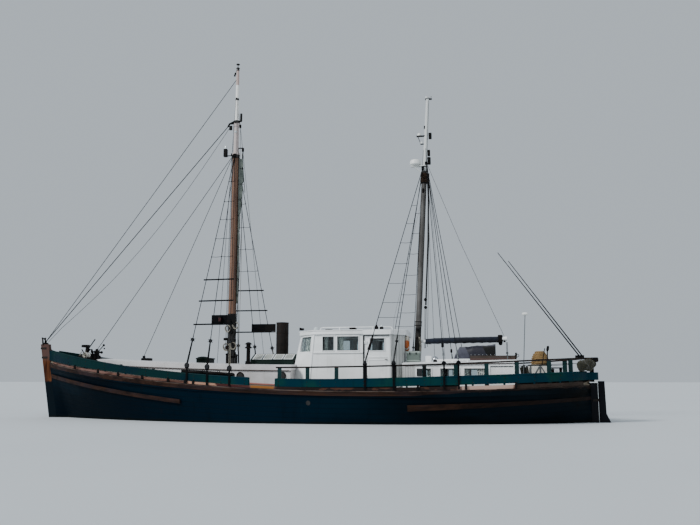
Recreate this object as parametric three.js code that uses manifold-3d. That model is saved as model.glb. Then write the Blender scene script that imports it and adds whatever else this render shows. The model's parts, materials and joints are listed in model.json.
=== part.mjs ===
// A wooden ketch of fishing-boat build, with a wheelhouse amidships, afloat at rest.
// Millimetres. X points aft, port is -Y, Z is up, and Z = 0 is the waterline.
import * as THREE from 'three';
import { mergeVertices } from 'three/addons/utils/BufferGeometryUtils.js';
import Module from 'manifold-3d';

const wasm = await Module();
wasm.setup();

// Driving dimensions
const GAP = 0.3; // between pieces that rest on each other
const STEM_AT_WATER = -10270; // front of the stem at the waterline
const STEM_RAKE = 0.19; // how far the stem leans forward for each unit of height
const STEM_DEPTH = 330; // fore and aft
const STEM_TOP = 2820;
const POST_AFT = 10220; // after face of the sternpost
const POST_DEPTH = 230;
const BACKBONE_HALF = 90; // half the thickness of stem, keel and post
const HALF_BEAM = 2800; // at deck level
const HALF_WATER = 2730; // at the waterline
const SHEER_LOW_X = 2500;
const SHEER_LOW_Z = 1080;
const KEEL_FORE = { x: -8600, z: -1900 };
const KEEL_AFT_Z = -2450;
const KEEL_DEPTH = 330;
const DECK_CAMBER = 120;
const DECK_THICK = 45;
const DECK_EDGE = 220; // height of the side of the deck plate, part of it round the hull
const DECK_FORE = -10290;
const DECK_AFT = 9960;
const ROOM = { fore: -12000, aft: 12000, side: 3500, low: -3000, high: 20000 }; // larger than the boat

// Lines of the hull
const sheer = (x) => SHEER_LOW_Z + (x < SHEER_LOW_X ? 6.2e-6 : 3.3e-6) * (x - SHEER_LOW_X) ** 2;
const keelBottom = (x) =>
  KEEL_FORE.z + ((KEEL_AFT_Z - KEEL_FORE.z) * (x - KEEL_FORE.x)) / (POST_AFT - KEEL_FORE.x);
const stemFront = (z) => STEM_AT_WATER - STEM_RAKE * z + (z < 0 ? 3.5e-4 * z * z : 0);
const stemBack = (z) => stemFront(z) + STEM_DEPTH;
const ramp = (value, low, high) => Math.min(1, Math.max(0, (value - low) / (high - low)));
const APERTURE = { fore: 9350, top: -560, corner: -900, bottom: -2090 };
const POST_FORE = POST_AFT - POST_DEPTH;
const sternEnd = (z) => POST_FORE - (POST_FORE - APERTURE.fore) * ramp(-z, -APERTURE.top, -APERTURE.corner);
const deckHalf = (x) => {
  const t = x < 0 ? Math.min(1, -x / 10420) : Math.min(1, x / 9990);
  const shape = x < 0 ? (1 - t ** 2.6) ** 0.85 : (1 - t ** 4) ** 0.62;
  return Math.max(BACKBONE_HALF - 10, HALF_BEAM * shape);
};
const waterHalf = (x) => {
  const t = x < 0 ? Math.min(1, -x / 9940) : Math.min(1, x / 9990);
  const shape = x < 0 ? (1 - t ** 2.1) ** 1.0 : (1 - t ** 2.6) ** 1.0;
  return Math.max(BACKBONE_HALF - 10, HALF_WATER * shape);
};
const belowWater = (x, depth) => {
  const fullness = x < 0 ? 1 - (x / 9940) ** 2 : 1 - (x / 9990) ** 2;
  const power = 1.1 + 1.7 * Math.max(0, fullness);
  const half = BACKBONE_HALF - 10;
  return half + (waterHalf(x) - half) * (1 - depth ** power) ** (0.55 + 0.6 * (1 - Math.max(0, fullness)));
};
const camber = (y, half, rise) => rise * (1 - (y / half) ** 2);

// Bodies
const solid = (geometry) => {
  const plain = geometry.clone();
  for (const name of Object.keys(plain.attributes)) {
    if (name !== 'position') plain.deleteAttribute(name);
  }
  const merged = mergeVertices(plain, 1e-3);
  const triangles = [];
  const { index } = merged;
  for (let i = 0; i < index.count; i += 3) {
    const [a, b, c] = [index.getX(i), index.getX(i + 1), index.getX(i + 2)];
    if (a !== b && b !== c && c !== a) triangles.push(a, b, c);
  }
  return new wasm.Manifold(
    new wasm.Mesh({
      numProp: 3,
      vertProperties: new Float32Array(merged.attributes.position.array),
      triVerts: new Uint32Array(triangles),
    }),
  );
};
const join = (...parts) => parts.reduce((sum, part) => sum.add(part));
const cut = (body, ...tools) => tools.reduce((rest, tool) => rest.subtract(tool), body);

// A ring is a closed outline. A skin through several rings, closed at both ends, makes a body.
const skin = (rings) => {
  const count = rings[0].length;
  const points = rings.flat();
  const faces = [];
  for (let i = 0; i + 1 < rings.length; i += 1) {
    for (let k = 0; k < count; k += 1) {
      const next = (k + 1) % count;
      const [a, b] = [i * count + k, i * count + next];
      const [c, d] = [a + count, b + count];
      if (k < count / 2) faces.push([a, b, d], [a, d, c]);
      else faces.push([a, b, c], [b, d, c]);
    }
  }
  const cap = (start, turn) => {
    for (let k = 1; k <= count / 2; k += 1) {
      const [low, high] = [k, count - k];
      const [lowBefore, highBefore] = [k - 1, (count - k + 1) % count];
      const add = (a, b, c) => {
        if (a === b || b === c || c === a) return;
        faces.push(turn ? [start + a, start + c, start + b] : [start + a, start + b, start + c]);
      };
      if (low > high) break;
      add(lowBefore, highBefore, low);
      if (low !== high) add(low, highBefore, high);
    }
  };
  cap(0, false);
  cap((rings.length - 1) * count, true);
  const geometry = new THREE.BufferGeometry();
  geometry.setAttribute('position', new THREE.Float32BufferAttribute(points.flat(), 3));
  geometry.setIndex(faces.flat());
  return outward(geometry);
};
const outward = (geometry) => {
  const { position } = geometry.attributes;
  const { index } = geometry;
  let volume = 0;
  const [a, b, c] = [new THREE.Vector3(), new THREE.Vector3(), new THREE.Vector3()];
  for (let i = 0; i < index.count; i += 3) {
    a.fromBufferAttribute(position, index.getX(i));
    b.fromBufferAttribute(position, index.getX(i + 1));
    c.fromBufferAttribute(position, index.getX(i + 2));
    volume += a.dot(b.cross(c));
  }
  if (volume < 0) {
    for (let i = 0; i < index.count; i += 3) {
      const second = index.getX(i + 1);
      index.setX(i + 1, index.getX(i + 2));
      index.setX(i + 2, second);
    }
  }
  return solid(geometry);
};
const box = (x0, x1, y0, y1, z0, z1) => {
  const middle = [(x0 + x1) / 2, (y0 + y1) / 2, (z0 + z1) / 2];
  return solid(new THREE.BoxGeometry(x1 - x0, y1 - y0, z1 - z0).translate(...middle));
};
const rod = (from, to, radius, sides = 6, radiusTo = radius) => {
  const [a, b] = [new THREE.Vector3(...from), new THREE.Vector3(...to)];
  const along = b.clone().sub(a);
  const geometry = new THREE.CylinderGeometry(radiusTo, radius, along.length(), sides);
  const up = new THREE.Vector3(0, 1, 0);
  geometry.applyQuaternion(new THREE.Quaternion().setFromUnitVectors(up, along.normalize()));
  return solid(geometry.translate(...a.add(b).multiplyScalar(0.5).toArray()));
};
// A turned shape: [radius, height] pairs about a vertical axis
const turned = (profile, at, sides = 16) => {
  const points = profile.map(([radius, height]) => new THREE.Vector2(radius, height));
  const geometry = new THREE.LatheGeometry(points, sides);
  return solid(geometry.rotateX(Math.PI / 2).translate(...at));
};
// A flat outline in X and Z, with the thickness across the boat
const board = (outline, y0, y1) => {
  const shape = new THREE.Shape(outline.map(([x, z]) => new THREE.Vector2(x, z)));
  const geometry = new THREE.ExtrudeGeometry(shape, { depth: y1 - y0, bevelEnabled: false });
  return solid(geometry.rotateX(Math.PI / 2).translate(0, y1, 0));
};
const mirrored = (body) => body.mirror([0, 1, 0]);
const range = (from, to, count) =>
  Array.from({ length: count + 1 }, (_, i) => from + ((to - from) * i) / count);

// Group and nodes
const ketch = new THREE.Group();
ketch.name = 'ketch';
const finish = (color, roughness = 0.7, metalness = 0) =>
  new THREE.MeshStandardMaterial({ color, roughness, metalness });
const paint = {
  teal: finish(0x063a4a, 0.55),
  trim: finish(0x0c4a48, 0.6),
  timber: finish(0x6b4a36, 0.85),
  bright: finish(0x8a5a35, 0.6),
  weathered: finish(0x6f6a60, 0.85),
  white: finish(0xe8e8e4, 0.5),
  black: finish(0x15181c, 0.5, 0.4),
  bronze: finish(0xa0793c, 0.4, 0.9),
  red: finish(0x5a2420, 0.8),
  glass: finish(0x445560, 0.1),
  navy: finish(0x141c2c, 0.85),
  grey: finish(0x5a6270, 0.9),
  sail: finish(0x9aa296, 0.9),
  orange: finish(0xc8612a, 0.7),
};
const add = (name, body, material) => {
  const { vertProperties, triVerts } = body.getMesh();
  const geometry = new THREE.BufferGeometry();
  geometry.setAttribute('position', new THREE.Float32BufferAttribute(vertProperties, 3));
  geometry.setIndex(new THREE.Uint32BufferAttribute(triVerts, 1));
  const mesh = new THREE.Mesh(geometry, material);
  mesh.name = name;
  ketch.add(mesh);
};
const addPair = (name, body, material) => {
  add(`${name}_port`, body, material);
  add(`${name}_starboard`, mirrored(body), material);
};

// Hull: a solid body under the deck planks
const STATIONS = 26;
const CLOSE = 0.08; // share of the cosine spacing left out at each end
const ABOVE = [1, 0.55, 0.25, 0];
const BELOW = [0.16, 0.34, 0.52, 0.7, 0.86, 0.95, 1];
const hullBody = (grow) => {
  const rings = range(0, 1, STATIONS).map((step) => {
    const end = Math.cos(Math.PI * CLOSE);
    const share = 0.5 - (0.5 * Math.cos(Math.PI * (CLOSE + (1 - 2 * CLOSE) * step))) / end;
    const x = stemBack(1800) + (sternEnd(1200) - stemBack(1800)) * share;
    const top = sheer(x);
    const low = keelBottom(x) + KEEL_DEPTH;
    const place = (half, z) => {
      const length = sternEnd(z) + 2 * grow - stemBack(z);
      return [stemBack(z) - grow + length * share, -(half + grow), z];
    };
    const flare = deckHalf(x) - waterHalf(x);
    const side = [
      ...ABOVE.map((w) => place(waterHalf(x) + flare * w, top * w + (w === 1 ? grow - DECK_THICK : 0))),
      ...BELOW.map((d) => place(belowWater(x, d), low * d - (d === 1 ? grow : 0))),
    ];
    const [edgeX, edgeY, edgeZ] = side[0];
    const crown = [
      [edgeX, 0, edgeZ + DECK_CAMBER],
      [edgeX, edgeY * 0.55, edgeZ + camber(0.55, 1, DECK_CAMBER)],
    ];
    const port = [crown[1], ...side];
    const starboard = port.map(([px, py, pz]) => [px, -py, pz]).reverse();
    return [crown[0], ...port, ...starboard];
  });
  return skin(rings);
};
const hull = hullBody(0);
const hullCutter = hullBody(GAP);

// A crowned plate: a deck or a roof. Its edge follows half(x) and edge(x).
const crowned = ({ xs, half, edge, rise, thick, grow = 0 }) => {
  const rings = xs.map((x, i) => {
    const end = i === 0 ? -grow : i === xs.length - 1 ? grow : 0;
    const h = half(x) + grow;
    const top = edge(x) + grow;
    const low = edge(x) - thick - grow;
    const port = [
      [x + end, -h * 0.55, top + camber(0.55, 1, rise)],
      [x + end, -h, top],
      [x + end, -h, low],
      [x + end, -h * 0.55, low + camber(0.55, 1, rise)],
    ];
    const starboard = port.map(([px, py, pz]) => [px, -py, pz]).reverse();
    return [[x + end, 0, top + rise], ...port, [x + end, 0, low + rise], ...starboard];
  });
  return skin(rings);
};

// Deck planks on the hull. alongside: places closer together near both ends
const alongside = (from, to, count) =>
  range(0, 1, count).map((t) => from + (to - from) * (0.5 - 0.5 * Math.cos(Math.PI * t)));
const deckPlate = (grow) =>
  crowned({
    xs: alongside(DECK_FORE, DECK_AFT, 20),
    half: (x) => deckHalf(x) - 4,
    edge: sheer,
    rise: DECK_CAMBER,
    thick: DECK_EDGE,
    grow,
  });
const deck = cut(deckPlate(0), hullCutter);
const deckCutter = join(deckPlate(GAP), hullCutter);
add('hull', hull, paint.teal);
add('deck', deck, paint.weathered);

// Backbone: stem, keel and sternpost
const stemFoot = -1500;
const stemHeights = [STEM_TOP, 2000, 1000, 0, -400, -800, -1200, stemFoot];
const stemOutline = [
  ...stemHeights.map((z) => [stemFront(z), z]),
  ...stemHeights.slice().reverse().map((z) => [stemBack(z) + 60 * ramp(-z, 0, 1200), z]),
];
const stemClear = board(stemOutline, -BACKBONE_HALF - 0.5, BACKBONE_HALF + 0.5).translate([0.5, 0, 0]);
const stemBody = cut(board(stemOutline, -BACKBONE_HALF, BACKBONE_HALF), deckCutter);
add('stem_post', stemBody, paint.bright);
const HEEL = { z: -2300, aft: 10390 };
const POST_FOOT = APERTURE.fore + 130; // where the sternpost meets the deadwood
const keelOutline = [
  [stemFront(stemFoot), stemFoot - GAP],
  [stemFront(-1750), -1750],
  [KEEL_FORE.x + 350, keelBottom(KEEL_FORE.x + 350)],
  [HEEL.aft, keelBottom(HEEL.aft)],
  [HEEL.aft, HEEL.z],
  [POST_AFT + 5, HEEL.z],
  [POST_AFT + 5, APERTURE.bottom],
  [POST_FOOT, APERTURE.bottom],
  [POST_FOOT, APERTURE.corner],
  [APERTURE.fore - 700, APERTURE.corner],
  [APERTURE.fore - 1200, -1500],
  [stemBack(stemFoot) + 500, stemFoot - GAP],
];
const SHAFT = { z: -1400, boss: 120, aft: APERTURE.fore + 210 };
const keelBody = cut(
  join(
    board(keelOutline, -BACKBONE_HALF - 30, BACKBONE_HALF + 30),
    rod([APERTURE.fore - 200, 0, SHAFT.z], [SHAFT.aft, 0, SHAFT.z], SHAFT.boss, 12),
  ),
  hullCutter,
);
add('keel', keelBody, paint.red);
const POST_HEAD = 1330;
const postOutline = [
  [POST_FORE + GAP, POST_HEAD],
  [POST_AFT, POST_HEAD],
  [POST_AFT, APERTURE.bottom + GAP],
  [POST_FORE + 20, APERTURE.bottom + GAP],
  [POST_FORE + 20, APERTURE.corner + 40],
  [POST_FOOT, APERTURE.corner + GAP],
  [APERTURE.fore + 30, APERTURE.corner + GAP],
  ...[-714, -336].map((z) => [sternEnd(z) + GAP, z]),
];
add('stern_post', cut(board(postOutline, -BACKBONE_HALF, BACKBONE_HALF), hullCutter), paint.black);

// Rudder, hung on the sternpost and stepped on the heel of the keel
const RUDDER = { x: 10285, nose: 45, head: 1390, low: -2260, pin: 25 };
const rudderOutline = [
  [RUDDER.x, RUDDER.head],
  [RUDDER.x + 170, RUDDER.head],
  [RUDDER.x + 190, 300],
  [RUDDER.x + 420, -200],
  [RUDDER.x + 900, -700],
  [RUDDER.x + 1000, -1400],
  [RUDDER.x + 880, RUDDER.low],
  [RUDDER.x, RUDDER.low],
];
const rudder = join(
  board(rudderOutline, -RUDDER.nose, RUDDER.nose),
  rod([RUDDER.x, 0, RUDDER.low], [RUDDER.x, 0, RUDDER.head], RUDDER.nose, 12),
  rod([RUDDER.x, 0, HEEL.z + GAP], [RUDDER.x, 0, RUDDER.low + 50], RUDDER.pin, 10),
);
add('rudder', rudder, paint.black);

// Propeller in the aperture
const PROP = { x: SHAFT.aft + GAP, z: SHAFT.z, radius: 480, blades: 3, thick: 22, pitch: 0.45, mid: 100 };
const crosswise = new THREE.Matrix4().makeBasis(
  new THREE.Vector3(0, 1, 0),
  new THREE.Vector3(0, 0, 1),
  new THREE.Vector3(1, 0, 0),
);
const blade = () => {
  const outline = new THREE.Shape();
  outline.moveTo(-60, 40);
  outline.bezierCurveTo(-260, 200, -220, 460, 0, PROP.radius);
  outline.bezierCurveTo(200, 400, 200, 200, 60, 40);
  return new THREE.ExtrudeGeometry(outline, { depth: PROP.thick, bevelEnabled: false, curveSegments: 8 })
    .translate(0, 0, -PROP.thick / 2)
    .rotateY(PROP.pitch)
    .applyMatrix4(crosswise);
};
const hubProfile = [[0, 0], [85, 0], [95, 60], [90, 160], [50, 220], [0, 235]];
const hub = solid(
  new THREE.LatheGeometry(
    hubProfile.map(([radius, length]) => new THREE.Vector2(radius, length)),
    16,
  ).rotateZ(-Math.PI / 2),
).translate([PROP.x, 0, PROP.z]);
const blades = range(0, PROP.blades - 1, PROP.blades - 1).map((i) =>
  solid(blade().rotateX((2 * Math.PI * i) / PROP.blades)).translate([PROP.x + PROP.mid, 0, PROP.z]),
);
add('propeller', join(hub, ...blades), paint.bronze);

// Strips along the side of the hull: strakes, covering boards and bulwarks
const sideStrip = ({ xs, out, inside, low, high }) =>
  skin(
    xs.map((x) => {
      const ahead = deckHalf(x + 40) - deckHalf(x - 40);
      const turn = Math.atan2(ahead, 80);
      const [nx, ny] = [-Math.sin(turn), -Math.cos(turn)];
      const at = (offset, z) => [x + nx * offset, -deckHalf(x) + ny * offset, z];
      return [at(-inside, low(x)), at(out, low(x)), at(out, high(x)), at(-inside, high(x))];
    }),
  );
const flareIn = (x, z) => (waterHalf(x) + (deckHalf(x) - waterHalf(x)) * ramp(z, 0, sheer(x))) - deckHalf(x);
const strakeStrip = ({ xs, out, high, tall }) =>
  skin(
    xs.map((x) => {
      const top = high(x);
      const low = top - tall(x);
      const at = (offset, z) => [x, -(deckHalf(x) + flareIn(x, z) + offset), z];
      return [at(-130, low), at(out, low), at(out, top), at(-130, top)];
    }),
  );
const below = (z) => box(ROOM.fore, ROOM.aft, -ROOM.side, ROOM.side, ROOM.low, z);
const above = (z) => box(ROOM.fore, ROOM.aft, -ROOM.side, ROOM.side, z, ROOM.high);
const aftOf = (x) => box(x, ROOM.aft, -ROOM.side, ROOM.side, ROOM.low, ROOM.high);
const starboardSide = box(ROOM.fore, ROOM.aft, -20, ROOM.side, ROOM.low, ROOM.high);
const keepClear = [hullCutter, starboardSide];
const STRAKE_END = 9985;
const rubRail = cut(
  strakeStrip({
    xs: alongside(-10250, STRAKE_END, 22),
    out: 55,
    high: (x) => sheer(x) - 12,
    tall: (x) => 160 - 50 * ramp(x, 6000, 9500),
  }),
  ...keepClear,
  deckCutter,
);
addPair('rub_rail', rubRail, paint.timber);
const BOW_STRAKE = { fore: -10150, aft: -3840, under: 560, lift: 140, tall: 140 };
const bowStrake = cut(
  strakeStrip({
    xs: alongside(BOW_STRAKE.fore, BOW_STRAKE.aft, 10),
    out: 48,
    high: (x) => sheer(x) - BOW_STRAKE.under + BOW_STRAKE.lift * ramp(-x, -BOW_STRAKE.aft, -BOW_STRAKE.fore),
    tall: () => BOW_STRAKE.tall,
  }),
  ...keepClear,
);
addPair('bow_strake', bowStrake, paint.timber);
const QUARTER_STRAKE = { fore: 4000, under: 465, lift: 85, tall: 200, taper: 80 };
const quarterStrake = cut(
  strakeStrip({
    xs: alongside(QUARTER_STRAKE.fore, STRAKE_END, 10),
    out: 48,
    high: (x) => sheer(x) - QUARTER_STRAKE.under + QUARTER_STRAKE.lift * ramp(x, QUARTER_STRAKE.fore, 10200),
    tall: (x) => QUARTER_STRAKE.tall - QUARTER_STRAKE.taper * ramp(x, QUARTER_STRAKE.fore, 9000),
  }),
  ...keepClear,
);
addPair('quarter_strake', quarterStrake, paint.timber);

// Covering board: the raised timber round the edge of the deck. Like the planks over it, it is
// lowest near the gangway.
const LOWEST = { x: -1000, fore: 8000, aft: 4800 };
const dip = (x) => Math.exp(-(((x - LOWEST.x) / (x < LOWEST.x ? LOWEST.fore : LOWEST.aft)) ** 2));
const BOARD = { fore: -10100, aft: 9700, high: 120, dip: 45, taper: 60, wide: 160 };
const boardTop = (x) => sheer(x) + BOARD.high - BOARD.taper * ramp(-x, 6500, 9500) - BOARD.dip * dip(x);
const coveringStrip = (grow) =>
  sideStrip({
    xs: alongside(BOARD.fore, BOARD.aft, 20),
    out: -8 + grow,
    inside: BOARD.wide + grow,
    low: (x) => sheer(x) - 6 - grow,
    high: (x) => boardTop(x) + grow,
  });
const coveringBoard = cut(coveringStrip(0), deckCutter, starboardSide);
const boardClear = coveringStrip(GAP);
addPair('covering_board', coveringBoard, paint.bright);

// Bulwarks: a plank held above the deck edge on short brackets
const railHigh = (x) => 1840 + 3.0e-6 * (x + 400) ** 2;
const bulwarkLow = (x) => sheer(x) + 170 - 65 * ramp(-x, 7000, 10300) - 85 * dip(x);
const bulwarkHigh = (x) => sheer(x) + 425 + 60 * ramp(-x, 6000, 10300) - 115 * dip(x);
const along = (x, inward, z) => {
  const turn = Math.atan2(deckHalf(x + 40) - deckHalf(x - 40), 80);
  return [x + Math.sin(turn) * inward, -deckHalf(x) + Math.cos(turn) * inward, z];
};
const PLANK = { outer: 4, inner: 50 }; // inward from the deck edge
const plank = (xs) =>
  skin(
    xs.map((x) => [
      along(x, PLANK.inner, bulwarkLow(x)),
      along(x, PLANK.outer, bulwarkLow(x)),
      along(x, PLANK.outer, bulwarkHigh(x)),
      along(x, PLANK.inner, bulwarkHigh(x)),
    ]),
  );
// An upright behind the planks, from the covering board up to a height
const upright = (x, { wide, thick, inward }, top) => {
  const half = wide / 2;
  return skin(
    [boardTop(x) - 20, top].map((z) => [
      along(x - half, inward, z),
      along(x + half, inward, z),
      along(x + half, inward + thick, z),
      along(x - half, inward + thick, z),
    ]),
  );
};
const BRACKET = {
  wide: 60,
  thick: 50,
  inward: 30,
  bow: [-9000, -8000, -7050, -6100, -5200, -4300, -3300, -2300, -1450],
  stern: [-270, 1150, 2600, 4000, 5100, 6100, 7100, 8050, 8900],
};
const bracket = (x) => upright(x, BRACKET, bulwarkHigh(x) - 40);
const GANGWAY = { fore: -1310, aft: -390 };
const BOW_END = -10430;
const TAIL = { x: 9890, aft: POST_AFT + 50 };
const bowBulwark = cut(
  join(plank(alongside(BOW_END, GANGWAY.fore, 14)), ...BRACKET.bow.map(bracket)),
  starboardSide,
  boardClear,
  stemClear,
);
addPair('bow_bulwark', bowBulwark, paint.trim);
const sternSteps = alongside(GANGWAY.aft, TAIL.x, 16);
const sternSide = join(plank(sternSteps), ...BRACKET.stern.map(bracket));
const wrap = (inwardOut, inwardIn, low, high) => {
  const { x, aft } = TAIL;
  const port = along(x, inwardOut, 0);
  const inner = along(x, inwardIn, 0);
  const arc = (px, py, bulge) =>
    new THREE.QuadraticBezierCurve(
      new THREE.Vector2(px, py),
      new THREE.Vector2(bulge, py * 0.75),
      new THREE.Vector2(bulge, 0),
    );
  const outer = arc(port[0], port[1], aft).getPoints(6);
  const inside = arc(inner[0], inner[1], aft - (inwardIn - inwardOut)).getPoints(6);
  return skin(
    outer.map((point, i) => [
      [inside[i].x, inside[i].y, low(x)],
      [point.x, point.y, low(x)],
      [point.x, point.y, high(x)],
      [inside[i].x, inside[i].y, high(x)],
    ]),
  );
};
const sternWrap = wrap(PLANK.outer, PLANK.inner, bulwarkLow, bulwarkHigh);
const sternPort = cut(join(sternSide, sternWrap), boardClear);
const sternBulwark = join(sternPort, mirrored(sternPort));
add('stern_bulwark', sternBulwark, paint.trim);

// Hand rail on its stanchions, round the stern
const STANCHION = {
  wide: 130,
  thick: 40,
  inward: 85,
  xs: [-260, 700, 1680, 4570, 5580, 6560, 7530, 8590, 9340],
};
const RAIL = { thick: 26, inward: 110 };
const stanchion = (x) => upright(x, STANCHION, railHigh(x));
const railStrip = skin(
  sternSteps.map((x) => {
    const z = railHigh(x);
    return [
      along(x, RAIL.inward - RAIL.thick, z - RAIL.thick),
      along(x, RAIL.inward - RAIL.thick, z + RAIL.thick),
      along(x, RAIL.inward + RAIL.thick, z + RAIL.thick),
      along(x, RAIL.inward + RAIL.thick, z - RAIL.thick),
    ];
  }),
);
const railWrap = wrap(
  RAIL.inward - RAIL.thick,
  RAIL.inward + RAIL.thick,
  (x) => railHigh(x) - RAIL.thick,
  (x) => railHigh(x) + RAIL.thick,
);
const railSide = cut(join(railStrip, ...STANCHION.xs.map(stanchion), railWrap), boardClear);
add('stern_rail', join(railSide, mirrored(railSide)), paint.trim);

// Wheelhouse: eight sides, with the front raked
const HOUSE = {
  front: -240, // where the front wall stands at the level of the roof in front of it
  frontHalf: 800,
  shoulder: 530,
  side: 1500,
  aftShoulder: 3300,
  aft: 3700,
  aftHalf: 900,
  rakeFrom: 1900,
  foot: 1100,
  top: 2985,
  wall: 55,
};
const RAKE = { tall: 1100, front: 240, shoulder: 100 }; // how far the front leans aft over its height
const houseRing = (z, inset) => {
  const rise = (z - HOUSE.rakeFrom) / RAKE.tall;
  const front = HOUSE.front + RAKE.front * rise;
  const shoulder = HOUSE.shoulder + RAKE.shoulder * rise;
  const port = [
    [front + inset, -HOUSE.frontHalf + inset * 0.4, z],
    [shoulder + inset * 0.4, -HOUSE.side + inset, z],
    [HOUSE.aftShoulder - inset * 0.4, -HOUSE.side + inset, z],
    [HOUSE.aft - inset, -HOUSE.aftHalf + inset * 0.4, z],
  ];
  return [...port, ...port.map(([x, y]) => [x, -y, z]).reverse()];
};
const houseBlock = (inset, z0, z1) => {
  const turn = (ring) => {
    const aftMiddle = ring.length / 2;
    const middle = (i, k) => ring[i].map((value, axis) => (value + ring[k][axis]) / 2);
    const [foreEnd, aftEnd] = [middle(0, ring.length - 1), middle(aftMiddle - 1, aftMiddle)];
    return [foreEnd, ...ring.slice(0, aftMiddle), aftEnd, ...ring.slice(aftMiddle)];
  };
  return skin([turn(houseRing(z0, inset)), turn(houseRing(z1, inset))]);
};
const houseClear = houseBlock(-GAP, HOUSE.foot - 200, HOUSE.top);

// Forward trunk cabin
const TRUNK = {
  fore: -7850,
  aft: -200,
  foreHalf: 930,
  aftHalf: 1540,
  rise: 55,
  wall: 50,
  edge: 180,
  eave: 35,
};
const trunkHalf = (x) =>
  TRUNK.foreHalf + (TRUNK.aftHalf - TRUNK.foreHalf) * ramp(x, TRUNK.fore, TRUNK.aft) ** 0.8;
const trunkEdge = (x) => 1931 - 0.0087 * x + 3.0e-6 * x * x;
const trunkBlock = (inset, thick) =>
  crowned({
    xs: range(TRUNK.fore + inset, TRUNK.aft - inset, 8),
    half: (x) => trunkHalf(x) - inset,
    edge: (x) => trunkEdge(x) - TRUNK.edge - GAP,
    rise: TRUNK.rise,
    thick,
  });
const trunkOuter = trunkBlock(0, 900);
const trunkInner = trunkBlock(TRUNK.wall, 1100).translate([0, 0, 60]);
add('trunk_walls', cut(trunkOuter, trunkInner, deckCutter, houseClear), paint.white);
const trunkRoofPlate = (grow) =>
  crowned({
    xs: range(TRUNK.fore - TRUNK.eave, TRUNK.aft + TRUNK.eave, 8),
    half: (x) => trunkHalf(x) + TRUNK.eave,
    edge: trunkEdge,
    rise: TRUNK.rise,
    thick: TRUNK.edge,
    grow,
  });
add('trunk_roof', cut(trunkRoofPlate(0), houseClear), paint.white);
const trunkTop = trunkRoofPlate(GAP);

// Hatch on the trunk roof, forward of the mast
const HATCH = { x: -3950, half: 260, high: 130, wall: 40, lid: 45, lap: 20, pin: 18, pinHalf: 140 };
const hatchFoot = trunkEdge(HATCH.x) - 20;
const hatchTop = trunkEdge(HATCH.x) + TRUNK.rise + HATCH.high;
const frame = (x0, x1, y0, y1, z0, z1, wall) =>
  cut(box(x0, x1, y0, y1, z0, z1), box(x0 + wall, x1 - wall, y0 + wall, y1 - wall, z0 - 10, z1 + 10));
const [hatchFore, hatchAft] = [HATCH.x - HATCH.half, HATCH.x + HATCH.half];
const coaming = frame(hatchFore, hatchAft, -HATCH.half, HATCH.half, hatchFoot, hatchTop, HATCH.wall);
add('fore_hatch_coaming', cut(coaming, trunkTop), paint.trim);
const hatchAxis = { x: hatchAft + 34, z: hatchTop + 20 };
const lidHalf = HATCH.half + HATCH.lap;
add(
  'fore_hatch_lid',
  join(
    box(HATCH.x - lidHalf, HATCH.x + lidHalf, -lidHalf, lidHalf, hatchTop + GAP, hatchTop + HATCH.lid),
    rod([hatchAxis.x, -HATCH.pinHalf, hatchAxis.z], [hatchAxis.x, HATCH.pinHalf, hatchAxis.z], HATCH.pin, 8),
  ),
  paint.trim,
);

// Skylight with a lid on each side of its ridge
const SKY = {
  fore: -1910,
  aft: -300,
  y: -250,
  half: 500,
  foot: 1920,
  edge: 2150,
  ridge: 2385,
  wall: 45,
  lid: 28,
  drop: 31.5, // from the top of a lid down to the box under it
  pin: { radius: 14, y: 31, down: 24 },
};
const skyEnd = (x0, x1) =>
  skin(
    [x0, x1].map((x) => [
      [x, SKY.y, SKY.ridge - SKY.drop],
      [x, SKY.y - SKY.half, SKY.edge - SKY.drop],
      [x, SKY.y - SKY.half, SKY.foot],
      [x, SKY.y, SKY.foot],
      [x, SKY.y + SKY.half, SKY.foot],
      [x, SKY.y + SKY.half, SKY.edge - SKY.drop],
    ]),
  );
const skySide = (y) => box(SKY.fore, SKY.aft, y, y + SKY.wall, SKY.foot, SKY.edge - SKY.drop);
const pinZ = SKY.ridge - SKY.pin.down;
const skyBody = cut(
  join(
    skyEnd(SKY.fore, SKY.fore + SKY.wall),
    skyEnd(SKY.aft - SKY.wall, SKY.aft),
    skySide(SKY.y - SKY.half),
    skySide(SKY.y + SKY.half - SKY.wall),
    box(SKY.fore, SKY.aft, SKY.y - 30, SKY.y + 30, SKY.ridge - 150, pinZ - SKY.pin.radius - GAP),
  ),
  trunkTop,
);
add('skylight_box', skyBody, paint.trim);
const slope = Math.atan2(SKY.ridge - SKY.edge, SKY.half);
const skyLid = (side) => {
  const [inner, outer] = [48, SKY.half / Math.cos(slope) + 22];
  return join(
    solid(
      new THREE.BoxGeometry(SKY.aft - SKY.fore + 40, outer - inner, SKY.lid)
        .translate(0, (side * (inner + outer)) / 2, -SKY.lid / 2)
        .rotateX(-side * slope)
        .translate((SKY.fore + SKY.aft) / 2, SKY.y, SKY.ridge),
    ),
    rod(
      [SKY.fore + 100, SKY.y + side * SKY.pin.y, pinZ],
      [SKY.aft - 100, SKY.y + side * SKY.pin.y, pinZ],
      SKY.pin.radius,
      8,
    ),
  );
};
add('skylight_lid_port', skyLid(-1), paint.white);
add('skylight_lid_starboard', skyLid(1), paint.white);

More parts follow.
